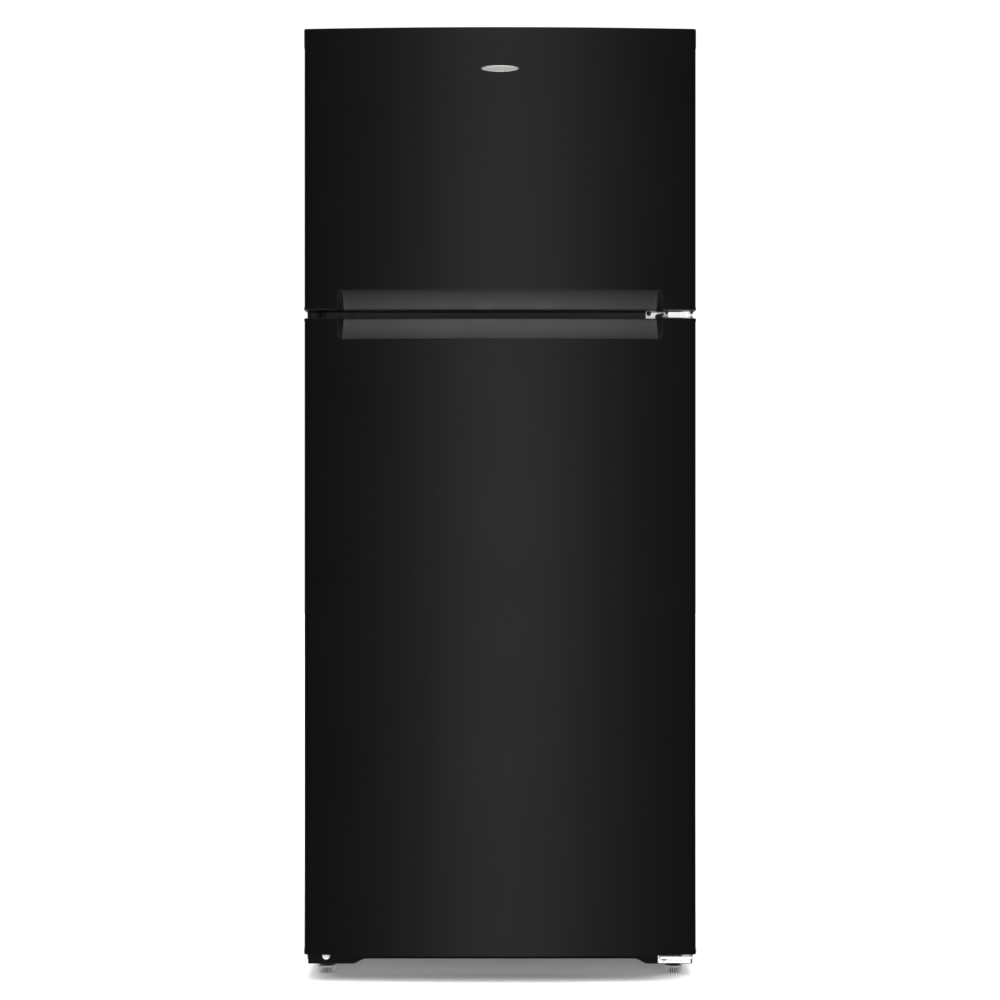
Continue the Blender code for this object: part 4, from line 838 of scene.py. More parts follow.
def build_rear_panel():
    """The steel back with its raised stiffening beads and formed rivets round the edge."""
    low, high = MACHINE_TOP - 0.003, Z_CABINET_TOP
    first, last = low + 0.1, high - 0.1
    uprights, levels = (-0.155, 0.155), (0.5, 0.88, 1.26)
    raised, foot, crown, sheet = 0.0009, 0.0085, 0.005, 0.0004

    def share(distance):
        """How much of a bead's height there is at a distance inside its foot."""
        return min(max(distance / (foot - crown), 0.0), 1.0)

    def stamped(x, z):
        upright = share(foot - abs(abs(x) - uprights[1])) * share(min(z - first, last - z))
        cross = max(share(foot - abs(z - level)) for level in levels) * (abs(x) <= uprights[1])
        return raised * max(upright, cross)

    def stations(start, end, count, beads, extra):
        """Evenly spaced places, with each bead's own in place of those that it covers."""
        even = evenly(start, end, count)
        even = [place for place in even if all(abs(place - bead) > foot + 0.002 for bead in beads)]
        own = [bead + step for bead in beads for step in (-foot, -crown, crown, foot)]
        return sorted([*even, *own, *extra])

    xs = stations(-X_BODY, X_BODY, 23, uprights, uprights)
    zs = stations(low, high, 47, levels, (first, first + foot - crown, last - foot + crown, last))
    work = bmesh.new()
    grid = [[work.verts.new((x, Y_BACK - raised + stamped(x, z), z)) for x in xs] for z in zs]
    for lower, upper in zip(grid, grid[1:]):
        for i in range(len(xs) - 1):
            work.faces.new((lower[i + 1], lower[i], upper[i], upper[i + 1]))
    panel = bake(thicken(as_object(work, recalculate=False), sheet))
    rivets = []
    for z in evenly(low + 0.02, high - 0.02, 8):
        for sign in (-1, 1):
            rivets.append(rivet((sign * (X_BODY - 0.008), Y_BACK - 0.0014, z)))
    piece(merged(panel, *rivets), "rear_panel", sharp=10)


def rivet(centre):
    profile = [(0.0001, -0.0013), (0.002, -0.001), (0.003, -0.0004), (0.0032, 0.0), (0.0032, 0.0006)]
    return turned(profile, centre, "Y", 40)


def cross_recess(x, y, z, size, depth, turn):
    """The cutter for a cross-head recess that faces -Y."""
    arms = []
    for quarter in (0, 1):
        angle = math.radians(turn + 90 * quarter)
        arms.append(turned_block((-size, -0.004, -size * 0.17), (size, depth, size * 0.17), (x, y, z), angle))
    bpy.context.view_layer.update()
    return arms


def screw_head(node, x, y, z, radius, material):
    """A cross-head screw that stands on a face towards -Y, with its pressed washer."""
    high = 0.0032
    dome = [(0.0001, high), (radius * 0.4, high * 0.96), (radius * 0.64, high * 0.8),
            (radius * 0.76, high * 0.52)]
    dome += [(radius * 0.8, high * 0.34), (radius * 0.97, high * 0.3), (radius, high * 0.2), (radius, 0.0)]
    head = turned(dome, (x, y, z), "Y", 40)
    subtract(head, *cross_recess(x, y, z, radius * 0.42, -high * 0.45, 33))
    piece(head, node, 0.00012, material=material)


def build_hinges():
    z, neck = Z_CABINET_TOP + FIT, 0.007
    y_far = Y_CABINET + 0.085
    outline = [(0.345, Y_CABINET + 0.02), (0.345, y_far), (0.27, y_far), (0.27, Y_CABINET + 0.02),
               (PIN_X - neck, Y_CABINET + 0.012), *arc((PIN_X, PIN_Y), neck, 180, 360, 14),
               (PIN_X + neck, Y_CABINET + 0.012)]
    radii = [0.003, 0.004, 0.004, 0.006, 0.004] + [0] * 15 + [0.003]
    top = prism(rounded_outline(outline, radii), z, z + 0.0035)
    pin = rod(PIN_R, z - 0.012, z + 0.002, 0.001)
    piece(union(top, pin), "top_hinge", 0.0004)

    shell = block((0.262, Y_CABINET + 0.004, z + 0.004), (0.347, Y_CABINET + 0.092, z + 0.0185), 0.004, 5)
    nose = block((PIN_X - neck, PIN_Y - 0.006, z + 0.004), (PIN_X + neck, Y_CABINET + 0.008, z + 0.0105),
                 0.0022, 4)
    hollow = block((0.264, Y_CABINET + 0.006, z - 0.01), (0.345, Y_CABINET + 0.09, z + 0.0165), 0.002, 3)
    piece(subtract(union(shell, nose), hollow), "top_hinge_cover", 0.0004)

    build_center_hinge()
    build_bottom_hinge()


def build_center_hinge():
    """Flange on the mullion, tongue, and the leaf with a turned-down lip that carries both doors' pins."""
    outline = [(0.2637, 1.186), (0.2805, 1.186), (0.2805, 1.1935), (0.284, 1.1965), (0.2962, 1.1985),
               (0.2962, 1.187), (0.345, 1.187), (0.345, 1.195), (0.299, 1.195), (0.298, 1.2045),
               (0.2637, 1.2045)]
    radii = [0.0015, 0.0015, 0.002, 0.003, 0.001, 0.001, 0.001, 0.001, 0.002, 0.0015, 0.0015]
    flange = prism(rounded_outline(outline, radii), FACE - PLATE, FACE, "XZ")
    z = 1.189
    front = PIN_Y - 0.012
    leaf = [(0.296, FACE - 0.001), (0.2925, FACE - 0.012), (0.3, front), (0.343, front),
            (0.346, PIN_Y - 0.006), (0.346, FACE - 0.001)]
    leaf = prism(rounded_outline(leaf, [0, 0.002, 0.002, 0.002, 0.002, 0]), z, z + 0.004)
    lip = round_plate(*HINGE_LIP, front, front + 0.003, "XZ", 0.0012)
    pin, washer = rod(PIN_R, 1.1745, 1.2085, 0.001), rod(0.0085, 1.1846, 1.1982, 0.0005)
    piece(union(flange, leaf, lip, pin, washer), "center_hinge", 0.0004)


def build_bottom_hinge():
    z = HINGE_LOW
    outline = [(HINGE_IN, 0.0224), (0.3445, 0.0224), (HINGE_OUT, 0.056), (HINGE_IN, 0.056)]
    flange = prism(rounded_outline(outline, 0.0012), FACE - PLATE, FACE, "XZ")
    leaf = rectangle(HINGE_IN, PIN_Y - 0.014, HINGE_OUT, FACE - 0.001)
    leaf = prism(rounded_outline(leaf, [0.004, 0.004, 0, 0]), z, z + 0.004)
    pin, washer = rod(PIN_R, z + 0.0005, 0.061, 0.001), rod(0.0085, 0.0418, 0.0492, 0.0005)
    piece(union(flange, leaf, pin, washer), "bottom_hinge", 0.0005)


def build_front_fittings():
    screw_head("center_hinge_screw", 0.2688, FACE - PLATE - FIT, 1.1967, 0.0042, "dark_zinc")
    screw_head("bottom_hinge_screw", 0.2965, FACE - PLATE - FIT, 0.0313, 0.005, "dark_zinc")
    screw_head("leg_screw_left", -0.315, FACE, 0.035, 0.0068, "zinc_plate")

    button = [(0.0001, 0.0014), (0.003, 0.0015), (0.0044, 0.0019), (0.0056, 0.0018), (0.0065, 0.0009),
              (0.0068, 0)]
    plug = turned(button, (-0.2684, FACE, 1.1973), "Y", 48)
    piece(plug, "mullion_plug", material="mullion_paint_painted_light")

    cover = block((-0.3475, FACE - 0.006, 1.185), (-0.3245, FACE, 1.2015), 0.0026, 4)
    oval = [(-0.3365 + 0.0052 * math.cos(a), 1.1936 + 0.0044 * math.sin(a)) for a in around(40)]
    pad = prism(oval, FACE - 0.0078, FACE - 0.0064, "XZ")
    piece(cover, "hinge_hole_cover", 0.0006, 3)
    trim(pad, "hinge_hole_button", "hinge_hole_cover", "mullion_paint_painted_light", 0.0005)


def build_foot(side, sign):
    """A levelling foot: a threaded stem, a cone and a ribbed ring. The stem and cone are dark in their own
    finish, the hollow dish inside the rim is dark as painted shade, and the valleys between the ribs are dark
    as painted shade.
    """
    stem, pitch, thread_top, thread_end = 0.0048, 0.0012, 0.0605, 0.0215
    profile = [(0.0001, 0.062), (0.0036, 0.0616)]
    for i in range(int((thread_top - thread_end) / pitch)):
        z = thread_top - pitch * i
        profile += [(stem - 0.0006, z), (stem, z - pitch / 2)]
    profile += [(stem, thread_end), (0.0076, 0.0192), (0.008, 0.018), (0.008, 0.015), (0.0086, 0.0136)]
    profile += [(0.0108, 0.0112), (0.012, 0.0112), (0.0144, 0.0137), (0.0152, 0.014), (0.016, 0.0138)]
    profile += [(FOOT_R, 0.0132), (FOOT_R, 0.0118)]
    ribbed = range(len(profile), len(profile) + 4)
    for inset, z in ((0.0003, 0.0112), (0.001, 0.009), (0.002, 0.0058), (0.0032, 0.0022), (0.004, 0.0006)):
        profile.append((FOOT_R - inset, z))
    profile += [(FOOT_R - 0.0046, 0.0), (0.0001, 0.0)]
    foot = turned(profile, (sign * FOOT_X, FOOT_Y, 0), "Z", 8 * FOOT_RIBS, FOOT_RIBS, ribbed, 0.0022)
    piece(foot, f"leveling_foot_{side}", sharp=30, material="foot_zinc")
    foot.data.materials.append(MATERIALS["compressor_black"])
    for face in foot.data.polygons:
        x, y, z = face.center - Vector((sign * FOOT_X, FOOT_Y, 0))
        out, rib_top = math.hypot(x, y), 0.011
        # Faces in the rib valleys get the dark material as painted shade.
        shaded_valley = 0.0004 < z < rib_top and math.cos(math.atan2(y, x) * FOOT_RIBS) < 0.1 and out > 0.009
        # The stem and cone get the dark material as their own finish, and the dish inside the rim gets it as
        # painted shade.
        stem_cone_and_shaded_dish = z > rib_top and out < 0.0146
        face.material_index = int(stem_cone_and_shaded_dish or shaded_valley)


def build_roller(side, sign):
    """A rear roller with a tread and a recessed web on both sides."""
    wide, dish, tread = 0.006, 0.004, ROLLER_R - 0.001
    section = [(tread, wide), (ROLLER_R, wide - 0.001), (ROLLER_R, -wide + 0.001), (tread, -wide)]
    web = [(0.0098, -wide), (0.0094, -dish), (0.0058, -dish), (0.0054, -wide), (0.0033, -wide)]
    section += web + [(r, -h) for r, h in reversed(web)]
    centre = Vector((sign * ROLLER_X, ROLLER_Y, ROLLER_R))
    rings = [[centre + Vector((h, r * math.cos(a), r * math.sin(a))) for r, h in section] for a in around(64)]
    piece(loft(rings, caps=False, joined=True), f"rear_roller_{side}")


# ---------------------------------------------------------------- inside
def compartment(node, profile, half, flange_low, flange_high, ledges):
    """A thermoformed liner with rounded corners, its front flange and the ledges for its shelves."""
    work = bmesh.new()
    sides = [[work.verts.new((x, y, z)) for y, z in profile] for x in (-half, half)]
    count = len(profile)
    for i in range(count):
        j = (i + 1) % count
        work.faces.new((sides[0][i], sides[0][j], sides[1][j], sides[1][i]))
    for side in sides:
        work.faces.new(side)
    bmesh.ops.recalc_face_normals(work, faces=work.faces)
    bmesh.ops.reverse_faces(work, faces=work.faces)
    front = [face for face in work.faces if abs(face.calc_center_median().y - Y_CABINET) < 0.001]
    bmesh.ops.delete(work, geom=front, context="FACES_ONLY")
    corners = [edge for edge in work.edges if len(edge.link_faces) == 2]
    round_edges(work, corners, 0.014, 6)
    rim = [edge for edge in work.edges if len(edge.link_faces) == 1]
    made = bmesh.ops.extrude_edge_only(work, edges=rim)["geom"]
    low, high = min(z for _, z in profile), max(z for _, z in profile)
    middle = (low + high) / 2
    for vert in (item for item in made if isinstance(item, bmesh.types.BMVert)):
        vert.co.x *= (X_FLANGE - FIT) / half
        above = vert.co.z > middle
        share = (vert.co.z - middle) / ((high if above else low) - middle)
        vert.co.z = middle + share * ((flange_high if above else flange_low) - middle)
    obj = bake(thicken(as_object(work, recalculate=False), LINER))
    ribs = []
    for z in ledges:
        for sign in (-1, 1):
            inner, outer = span(0, sign, half - 0.008, half + 0.001)
            ribs.append(block((inner, -0.18, z - 0.008), (outer, 0.24, z), 0.0018, 3))
    piece(union(obj, *ribs), node, 0.0006)


def build_liners():
    y = Y_CABINET + 0.0005
    freezer = [(y, FREEZER_FLOOR), (LINER_BACK, FREEZER_FLOOR), (LINER_BACK, FREEZER_CEILING),
               (y, FREEZER_CEILING)]
    top = Z_CABINET_TOP - TOP_FLANGE - FIT
    compartment("freezer_liner", freezer, FREEZER_HALF, MULLION_TOP + FIT, top, [SHELF_FREEZER])
    fridge = [(y, FRIDGE_FLOOR), (HUMP_FRONT, FRIDGE_FLOOR), (HUMP_SLOPE_END, HUMP_TOP),
              (LINER_BACK, HUMP_TOP), (LINER_BACK, FRIDGE_CEILING), (y, FRIDGE_CEILING)]
    ledges = [SHELF_UPPER, SHELF_LOWER, CRISPER_COVER]
    compartment("fridge_liner", fridge, FRIDGE_HALF, Z_RAIL_TOP, MULLION_BOTTOM - FIT, ledges)


def shelf(node, half, y_front, y_back, z):
    """A sheet of tempered glass with ground edges and a moulded trim along its front and back."""
    low, high = z + FIT, z + FIT + PANE
    pane = block((-half, y_front, low), (half, y_back, high), 0.0012, 3)
    piece(pane, node)
    for name, y, reach in (("front", y_front, -0.006), ("back", y_back, 0.004)):
        near, far = span(y, reach, 1, -1.2)
        bar = block((-half + 0.0105, near, low - 0.006), (half - 0.0105, far, high + 0.0015), 0.0022, 4)
        near, far = span(y, reach, 0, -3)
        slot = block((-half, near, low - 0.0001), (half, far, high + 0.0001))
        trim(subtract(bar, slot), f"{node}_{name}_trim", node, "white_liner", 0.0003)


def build_storage():
    half, back, front, z = FRIDGE_HALF - 0.0015, 0.3, -0.16, CRISPER_COVER
    shelf("freezer_shelf", FREEZER_HALF - 0.0015, -0.15, 0.236, SHELF_FREEZER)
    shelf("upper_shelf", half, -0.172, back, SHELF_UPPER)
    shelf("lower_shelf", half, -0.172, back, SHELF_LOWER)
    cover = block((-half, front, z + FIT), (half, back, z + FIT + 0.008), 0.002, 4)
    skirt = block((-0.293, front, z - 0.012), (0.293, -0.154, z + 0.002), 0.0012, 3)
    piece(union(cover, skirt), "crisper_cover", 0.0005)

    y = -0.14
    for side, sign in (("left", -1), ("right", 1)):
        low, high = span(0, sign, 0.004, 0.29)
        z_low, z_high = FRIDGE_FLOOR + 0.004, CRISPER_COVER - 0.018
        drawer = tray((low, y, z_low), (high, 0.132, z_high), 0.003, 0.014, lip=0.0045)
        middle = (low + high) / 2
        near, far, front = middle - 0.07, middle + 0.07, y - 0.014
        pull = block((near, front, z_high - 0.03), (far, y + 0.001, z_high - 0.024), 0.0022, 4)
        fall = block((near, front, z_high - 0.042), (far, y - 0.0108, z_high - 0.025), 0.0015, 3)
        piece(union(drawer, pull, fall), f"crisper_{side}", 0.0006)


def build_controls():
    housing = block((-0.15, -0.205, 1.106), (0.15, -0.07, FRIDGE_CEILING - FIT), 0.006, 5)
    bore = rod(0.0042, -0.03, 0.03, centre=(KNOB.x, -0.205, KNOB.z), axis="Y", steps=32)
    ring = turned([(0.0205, -0.002), (0.0205, 0.004), (0.0175, 0.004), (0.0175, 0.0006), (0.0001, 0.0006)],
                  (KNOB.x, -0.2047, KNOB.z), "Y", 64)
    marks = []
    for angle in evenly(-135, 135, 8):
        place, turn = (KNOB.x, -0.2052, KNOB.z), math.radians(angle)
        marks.append(turned_block((-0.0005, -0.0012, 0.0222), (0.0005, 0.002, 0.0255), place, turn))
    slots = [block((-0.13 + 0.012 * i, -0.22, 1.122), (-0.125 + 0.012 * i, -0.199, 1.136), 0.002, 3)
             for i in range(9)]
    bpy.context.view_layer.update()
    subtract(housing, bore, ring, *marks, *slots)
    piece(housing, "control_housing", 0.0006)

    skirt = [(0.013, 0.0095), (0.014, 0.0088), (0.0145, 0.0075), (0.015, -0.002), (0.015, -0.0035)]
    shaft = [(0.0038, -0.0036), (0.0038, -0.022), (0.0001, -0.022)]
    profile = [(0.0001, 0.0085), (0.01, 0.0085), (0.0118, 0.0095), *skirt, *shaft]
    dial = turned(profile, KNOB + Vector((0, 0.003, 0)), "Y", 192, 32, range(3, 7), 0.0005)
    pointer = block((KNOB.x - 0.0015, -0.2228, KNOB.z - 0.012), (KNOB.x + 0.0015, -0.213, KNOB.z + 0.012),
                    0.0008, 3)
    piece(union(dial, pointer), "temperature_knob", 0.0002)

    lens = block((-0.075, -0.17, 1.1005), (0.045, -0.105, 1.1057), 0.0024, 4)
    flutes = [block((-0.07 + 0.008 * i, -0.166, 1.0995), (-0.0665 + 0.008 * i, -0.109, 1.1012), 0.0006, 2)
              for i in range(14)]
    piece(subtract(lens, *flutes), "lamp_lens", 0.0003)


def fan(centre, axis, radius, hub, thick):
    """An axial fan: a rounded hub with curved blades whose pitch falls towards the tip. It is made about Z,
    then turned to its own axis and moved to its place."""
    half, blades = thick / 2, 5
    cap = [(0.0001, half), (hub * 0.72, half), (hub * 0.92, half * 0.86), (hub, half * 0.55), (hub, -half),
           (0.0001, -half)]
    wheel = turned(cap, (0, 0, 0), "Z", 48)
    shapes = []
    for number in range(blades):
        rings = []
        for share in evenly(0, 1, 8):
            r = hub * 0.8 + (radius - hub * 0.8) * share
            pitch = math.radians(42 - 20 * share)
            chord = (0.016 + 0.012 * math.sin(math.pi * (0.25 + 0.65 * share))) * radius / 0.055
            chord = min(chord, thick / math.sin(pitch) * 0.96)
            ring = []
            for a in around(20):
                along = chord / 2 * math.cos(a)
                camber = 0.1 * chord * (1 - (2 * along / chord) ** 2)
                flat = Matrix.Rotation(pitch, 2) @ Vector((along, 0.0009 * math.sin(a) + camber))
                turn = math.tau * number / blades + flat.x / r
                ring.append((r * math.cos(turn), r * math.sin(turn), max(-half, min(half, flat.y - 0.0005))))
            rings.append(ring)
        shapes.append(loft(rings))
    union(wheel, *shapes)
    wheel.data.transform(Matrix.Translation(centre) @ TURN_TO[axis].to_4x4())
    return wheel


def serpentine(rows, half, pitch, start):
    """Points of a level tube that runs to and fro across X, one pitch lower each time, with round ends."""
    x0, y0, z0 = start
    bends = 10
    points = []
    for row in range(rows):
        z = z0 - row * pitch
        side = 1 if row % 2 == 0 else -1
        points += [(x0 - side * half, y0, z), (x0 + side * half, y0, z)]
        if row < rows - 1:
            for i in range(1, bends):
                a = math.pi * i / bends
                x = x0 + side * (half + pitch / 2 * math.sin(a))
                points.append((x, y0, z - pitch / 2 * (1 - math.cos(a))))
    return points


def fins(count, low, high, thick):
    """A row of thin upright plates between two corners."""
    plates = []
    for x in evenly(low[0], high[0], count - 1):
        plates.append(block((x - thick / 2, low[1], low[2]), (x + thick / 2, high[1], high[2])))
    return merged(*plates)


def build_evaporator():
    low, high = FREEZER_FLOOR + 0.0065, FREEZER_CEILING - 0.0065
    cover = round_plate(-0.29, low, 0.29, high, 0.248, 0.251, "XZ", 0.008)
    x, y, z = EVAPORATOR_FAN
    cutters = [rod(0.054, -0.27, -0.23, centre=(x, 0, z), axis="Y", steps=64)]
    for i in range(5):
        middle = -0.2 + 0.1 * i
        cutters.append(round_plate(middle - 0.035, 1.254, middle + 0.035, 1.26, 0.24, 0.26, "XZ", 0.0029))
    subtract(cover, *cutters)
    grille, y_grille = [], 0.2495
    for radius in (0.014, 0.024, 0.034, 0.044, 0.053):
        ring = [(x + radius * math.cos(a), y_grille, z + radius * math.sin(a)) for a in around(56)]
        grille.append(tube(ring, 0.0012, 3, closed=True))
    for a in around(6):
        a += 0.26
        ends = [(x + r * math.cos(a), y_grille, z + r * math.sin(a)) for r in (0.013, 0.0545)]
        grille.append(tube(ends, 0.001, 3))
    piece(merged(soft_copy(cover, 0.0006), *grille), "evaporator_cover")
    coil = tube(serpentine(7, 0.245, 0.03, (0, 0.285, 1.455)), 0.004, 6)
    plates = fins(60, (-0.232, 0.2722, 1.262), (0.232, 0.2978, 1.468), 0.0003)
    piece(merged(coil, plates), "evaporator_coil")
    piece(fan(EVAPORATOR_FAN, "Y", 0.048, 0.014, 0.016), "evaporator_fan", 0.0002)
    can = [(0.0001, 0.011), (0.019, 0.011), (0.021, 0.009), (0.021, -0.009), (0.019, -0.011),
           (0.0001, -0.011)]
    motor = turned(can, (x, y + 0.0195, z), "Y", 48)
    bracket = round_plate(x - 0.07, z - 0.009, x + 0.07, z + 0.009, y + 0.027, y + 0.03, "XZ", 0.004)
    piece(union(motor, bracket), "evaporator_fan_motor", 0.0004)


def soft_copy(obj, width):
    """Bevels an object's edges for good, so that it can be merged with others."""
    smooth(obj)
    return bake(soften(obj, width))


def build_machine_space():
    floor = Z_CABINET_BOTTOM + 0.002 + FIT
    x, y = -0.19, 0.29
    profile = [(0.0001, 0.15)]
    profile += arc((0.0, 0.1), 0.062, 84, 8, 12, 0.05)
    profile += [(0.064, 0.08), (0.0655, 0.0785), (0.07, 0.078), (0.07, 0.072), (0.0655, 0.0715),
                (0.064, 0.07)]
    profile += arc((0.0, 0.045), 0.062, -8, -84, 12, 0.035)
    profile += [(0.0001, 0.01)]
    shell = turned(profile, (x, y, floor), "Z", 72)
    base = round_plate(x - 0.085, y - 0.045, x + 0.085, y + 0.045, floor, floor + 0.016, "XY", 0.012)
    shapes = [base]
    for sx in (-1, 1):
        for sy in (-1, 1):
            post = [(0.0001, 0.024), (0.006, 0.024), (0.0075, 0.022), (0.006, 0.018), (0.008, 0.016)]
            post += [(0.008, 0.012), (0.0001, 0.012)]
            shapes.append(turned(post, (x + sx * 0.073, y + sy * 0.034, floor), "Z", 32))
    shapes.append(block((x + 0.05, y - 0.022, floor + 0.04), (x + 0.078, y + 0.022, floor + 0.1), 0.005, 4))
    piece(union(shell, *shapes), "compressor", 0.0012, 3)

    coil = tube(serpentine(6, 0.085, 0.026, (0.205, 0.3, 0.185)), 0.004, 6)
    plates = fins(34, (0.126, 0.2885, 0.048), (0.284, 0.3115, 0.192), 0.0003)
    piece(merged(coil, plates), "condenser_coil")

    can = [(0.0001, 0.02), (0.018, 0.02), (0.024, 0.017), (0.025, 0.014), (0.025, -0.016), (0.023, -0.02),
           (0.0001, -0.02)]
    motor = turned(can, (0.05, 0.29, 0.125), "X", 48)
    leg = block((0.04, 0.278, floor), (0.05, 0.302, 0.12), 0.0015, 3)
    foot = block((0.03, 0.262, floor), (0.068, 0.318, floor + 0.003), 0.0012, 3)
    bore = rod(0.0042, -0.006, 0.006, centre=(0.03, 0.29, 0.125), axis="X", steps=24)
    piece(subtract(union(motor, leg, foot), bore), "condenser_fan_motor", 0.0005)
    wheel = fan(CONDENSER_FAN, "X", 0.062, 0.018, 0.018)
    axle = rod(0.0034, -0.014, 0.014, centre=(0.02, 0.29, 0.125), axis="X", steps=24)
    piece(union(wheel, axle), "condenser_fan", 0.0002)
    build_machine_cover()


def build_machine_cover():
    """The cover over the machine compartment, with a hooded slot at each air inlet."""
    near, far = Y_SHELL_END - 0.0033, Y_SHELL_END - 0.0013
    cover = round_plate(-0.3455, 0.0335, 0.3455, MACHINE_TOP - 0.001, near, far, "XZ", 0.004)
    slots, hoods = [], []
    for x, z in ((-0.28 + 0.07 * column, 0.085 + 0.045 * row) for column in range(9) for row in range(3)):
        slots.append(round_plate(x - 0.024, z - 0.004, x + 0.024, z + 0.004, near - 0.01, far + 0.01, "XZ",
                                 0.0039))
        rings = []
        for share in evenly(-1, 1, 12):
            width = math.sqrt(max(1 - share**4, 0.0))
            out = 0.0019 * width
            section = [(-0.0006, 0.007), (0.0002 + out * 0.7, 0.004), (0.0004 + out, -0.0005)]
            section += [(0.0004 + out - 0.0008 * width, -0.0008), (-0.0002 + out * 0.5, 0.0032)]
            rings.append([(x + 0.0265 * share, far + depth, z + up) for depth, up in section])
        hoods.append(loft(rings))
    subtract(cover, *slots)
    piece(merged(cover, *hoods), "machine_cover")


def keep_cad_node(name, width, slot=None):
    """A CAD node that stays, with its edges softened."""
    obj = NODES[name]
    weld = obj.modifiers.new("weld", "WELD")
    weld.merge_threshold = 0.00001
    flatten = obj.modifiers.new("flatten", "DECIMATE")
    flatten.decimate_type = "DISSOLVE"
    flatten.angle_limit = math.radians(1)
    if width:
        soften(obj, width)
    obj.data.materials.clear()
    obj.data.materials.append(MATERIALS[slot or SLOTS[name]])


build_freezer_door()
build_fridge_door()
build_cabinet()
build_hinges()
build_front_fittings()
for side, sign in (("left", -1), ("right", 1)):
    build_foot(side, sign)
    build_roller(side, sign)
build_liners()
build_storage()
build_controls()
build_evaporator()
build_machine_space()
keep_cad_node("base_frame", 0.0004, "frame_grey")
for foam in ("insulation_foam", "freezer_door_foam", "fridge_door_foam"):
    keep_cad_node(foam, 0.0)


# ---------------------------------------------------------------- floor, light, camera
def floor():
    """A wide white floor that neither mirrors nor shades the underside."""
    work = bmesh.new()
    bmesh.ops.create_grid(work, x_segments=8, y_segments=8, size=14.0)
    obj = as_object(work)
    obj.name = "floor"
    white, worn = (0.9, 0.9, 0.9), (0.88, 0.88, 0.88)
    finish = make_finish("floor", white, 0.8, wear=(white, worn, 3.0), bump=(40.0, 2.0, 0.0002, 0.1))
    obj.data.materials.append(finish)
    obj.visible_glossy = False
    obj.visible_shadow = False


def studio_world():
    """A studio as a procedural sky: white to look at, and otherwise dark, with a soft upright glow in front
    of the doors, weaker ones at the sides and behind, a long strip light overhead and underneath, and four
    small lamps."""
    world = bpy.data.worlds.new("studio")
    bpy.context.scene.world = world
    world.use_nodes = True
    tree = world.node_tree
    tree.nodes.clear()
    coords = add_node(tree, "TexCoord").outputs["Generated"]

    def combined(kind, operation, *values):
        node = add_node(tree, kind)
        node.operation = operation
        for value, socket in zip(values, node.inputs):
            put(tree, value, socket)
        return node.outputs["Value"]

    def maths(operation, *values):
        return combined("Math", operation, *values)

    def along(direction):
        return combined("VectorMath", "DOT_PRODUCT", coords, direction)

    def bell(value, width, top):
        share = maths("DIVIDE", value, width)
        fall = maths("MULTIPLY", maths("MULTIPLY", share, share), -1.0)
        return maths("MULTIPLY", maths("POWER", math.e, fall), top)

    def ramp(value, low, high, top):
        node = add_node(tree, "MapRange", Value=value, From_Min=low, From_Max=high, To_Max=top)
        node.interpolation_type = "SMOOTHSTEP"
        return node.outputs["Result"]

    steep = maths("ABSOLUTE", along((0.0, 0.0, 1.0)))
    total = maths("ADD", ramp(steep, *STUDIO["cap"]), STUDIO["base"])
    strip = bell(along((1.0, 0.0, 0.0)), STUDIO["strip_width"], ramp(steep, *STUDIO["strip"]))
    total = maths("ADD", total, strip)
    for azimuth, height in STUDIO["lamps"]:
        a, h = math.radians(azimuth), math.radians(height)
        aim = (math.sin(a) * math.cos(h), -math.cos(a) * math.cos(h), math.sin(h))
        away = combined("VectorMath", "DISTANCE", coords, aim)
        total = maths("ADD", total, bell(away, STUDIO["lamp_width"], STUDIO["lamp"]))
    level = maths("MAXIMUM", maths("SUBTRACT", 1.0, maths("MULTIPLY", steep, STUDIO["glow_fall"])), 0.0)
    for azimuth, width, strength in STUDIO["glows"]:
        a = math.radians(azimuth)
        aside, ahead = along((math.cos(a), math.sin(a), 0.0)), along((math.sin(a), -math.cos(a), 0.0))
        glow = bell(maths("ARCTAN2", aside, ahead), math.radians(width), strength)
        total = maths("ADD", total, maths("MULTIPLY", glow, level))
    is_seen = add_node(tree, "LightPath").outputs["Is Camera Ray"]
    mix = add_node(tree, "MixShader", Fac=is_seen)
    for strength, socket in ((total, mix.inputs[1]), (STUDIO["seen"], mix.inputs[2])):
        light = add_node(tree, "Background", Color=(1.0, 1.0, 1.0, 1.0), Strength=strength)
        put(tree, light.outputs["Background"], socket)
    add_node(tree, "OutputWorld", Surface=mix.outputs["Shader"])


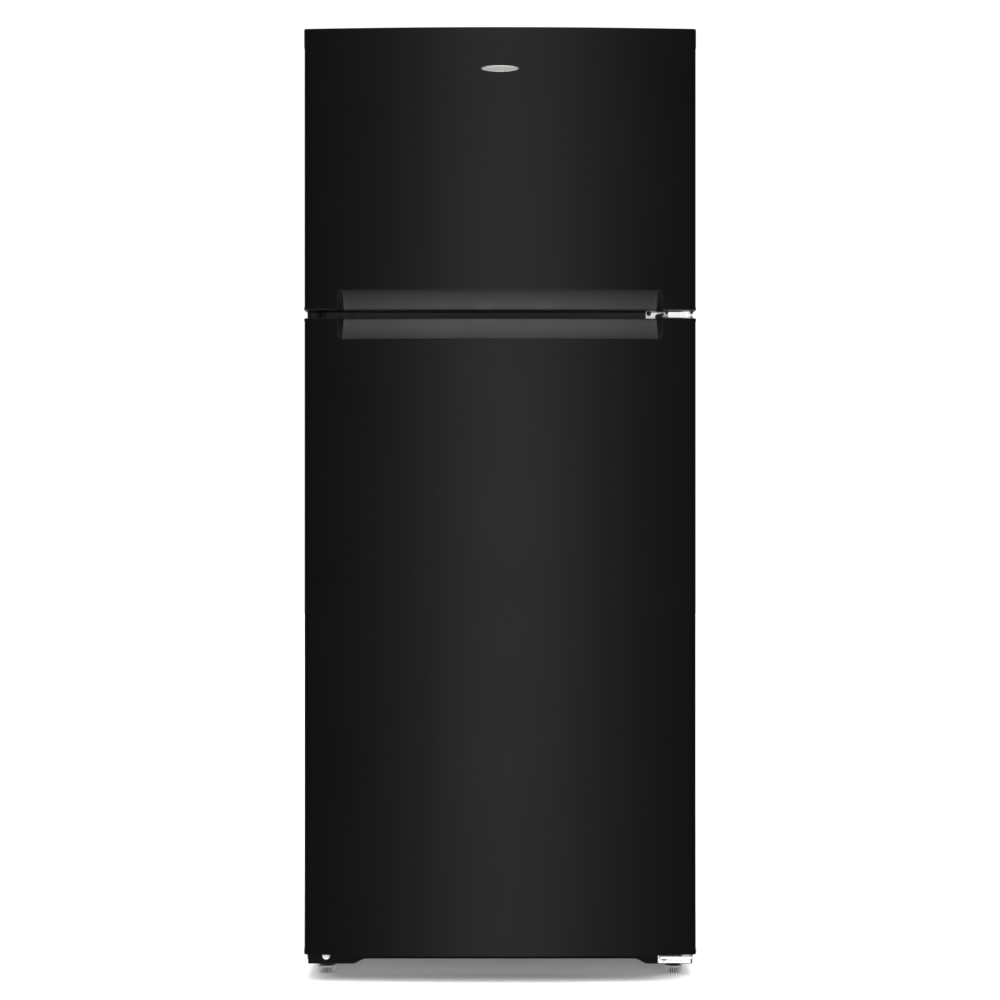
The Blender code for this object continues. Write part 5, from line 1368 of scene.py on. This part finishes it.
# Sizes are in directions' lengths on the unit sphere, and azimuths, heights and the glows' widths in degrees.
STUDIO = {
    "seen": 1.1,  # what the camera sees in its place
    "base": 0.012,
    "cap": (0.35, 0.95, 0.35),  # where its slope begins and ends, and its strength
    "strip": (0.28, 0.9, 3.0),
    "strip_width": 0.135,
    "glows": [(0.8, 5.6, 1.16), (115.0, 16.0, 0.8), (-115.0, 16.0, 0.8), (180.0, 30.0, 0.6)],
    "glow_fall": 1.05,
    "lamps": [(58.0, 52.0), (-58.0, 52.0), (58.0, -52.0), (-58.0, -52.0)],
    "lamp_width": 0.09,
    "lamp": 9.0,
}
SUN_STRENGTH, SUN_ANGLE, SUN_HEIGHT = 4.6, 90.0, 62.0
FRONT_POWER, FRONT_FLOOR_POWER = 150.0, 45.0
FRONT_PLACE, FRONT_SIZE = (0.0, -4.2, 0.95), 0.8
CAMERA_PLACE, CAMERA_LENS = (-0.0002, -4.757, 0.86), 88.85


def placed(name, data, location, tilt):
    """A new object that looks along +Y, from a tilt of 90 degrees."""
    obj = bpy.data.objects.new(name, data)
    bpy.context.scene.collection.objects.link(obj)
    obj.location = location
    obj.rotation_euler = (math.radians(tilt), 0.0, 0.0)
    return obj


def overhead_light():
    """A broad soft light from above and a little in front. Reflections show the sky in its place."""
    light = bpy.data.lights.new("overhead", "SUN")
    light.energy = SUN_STRENGTH
    light.angle = math.radians(SUN_ANGLE)
    placed("overhead", light, (0.0, -1.0, 4.0), 90.0 - SUN_HEIGHT).visible_glossy = False


def front_light(name, power, floor_state):
    """A soft frontal light that reaches into the gap between the doors, or one for the floor alone."""
    light = bpy.data.lights.new(name, "AREA")
    light.shape = "RECTANGLE"
    light.size = light.size_y = FRONT_SIZE
    light.energy = power
    obj = placed(name, light, FRONT_PLACE, 90.0)
    obj.visible_camera = False
    obj.visible_glossy = False
    linked = bpy.data.collections.new(f"{name}_receivers")
    linked.objects.link(bpy.data.objects["floor"])
    obj.light_linking.receiver_collection = linked
    linked.collection_objects[0].light_linking.link_state = floor_state


def camera():
    data = bpy.data.cameras.new("camera")
    data.sensor_width = 36.0
    data.lens = CAMERA_LENS
    data.clip_end = 100.0
    bpy.context.scene.camera = placed("camera", data, CAMERA_PLACE, 90.0)


floor()
studio_world()
overhead_light()
front_light("front", FRONT_POWER, "EXCLUDE")
front_light("front_floor", FRONT_FLOOR_POWER, "INCLUDE")
camera()
bpy.context.scene.view_settings.view_transform = "Standard"
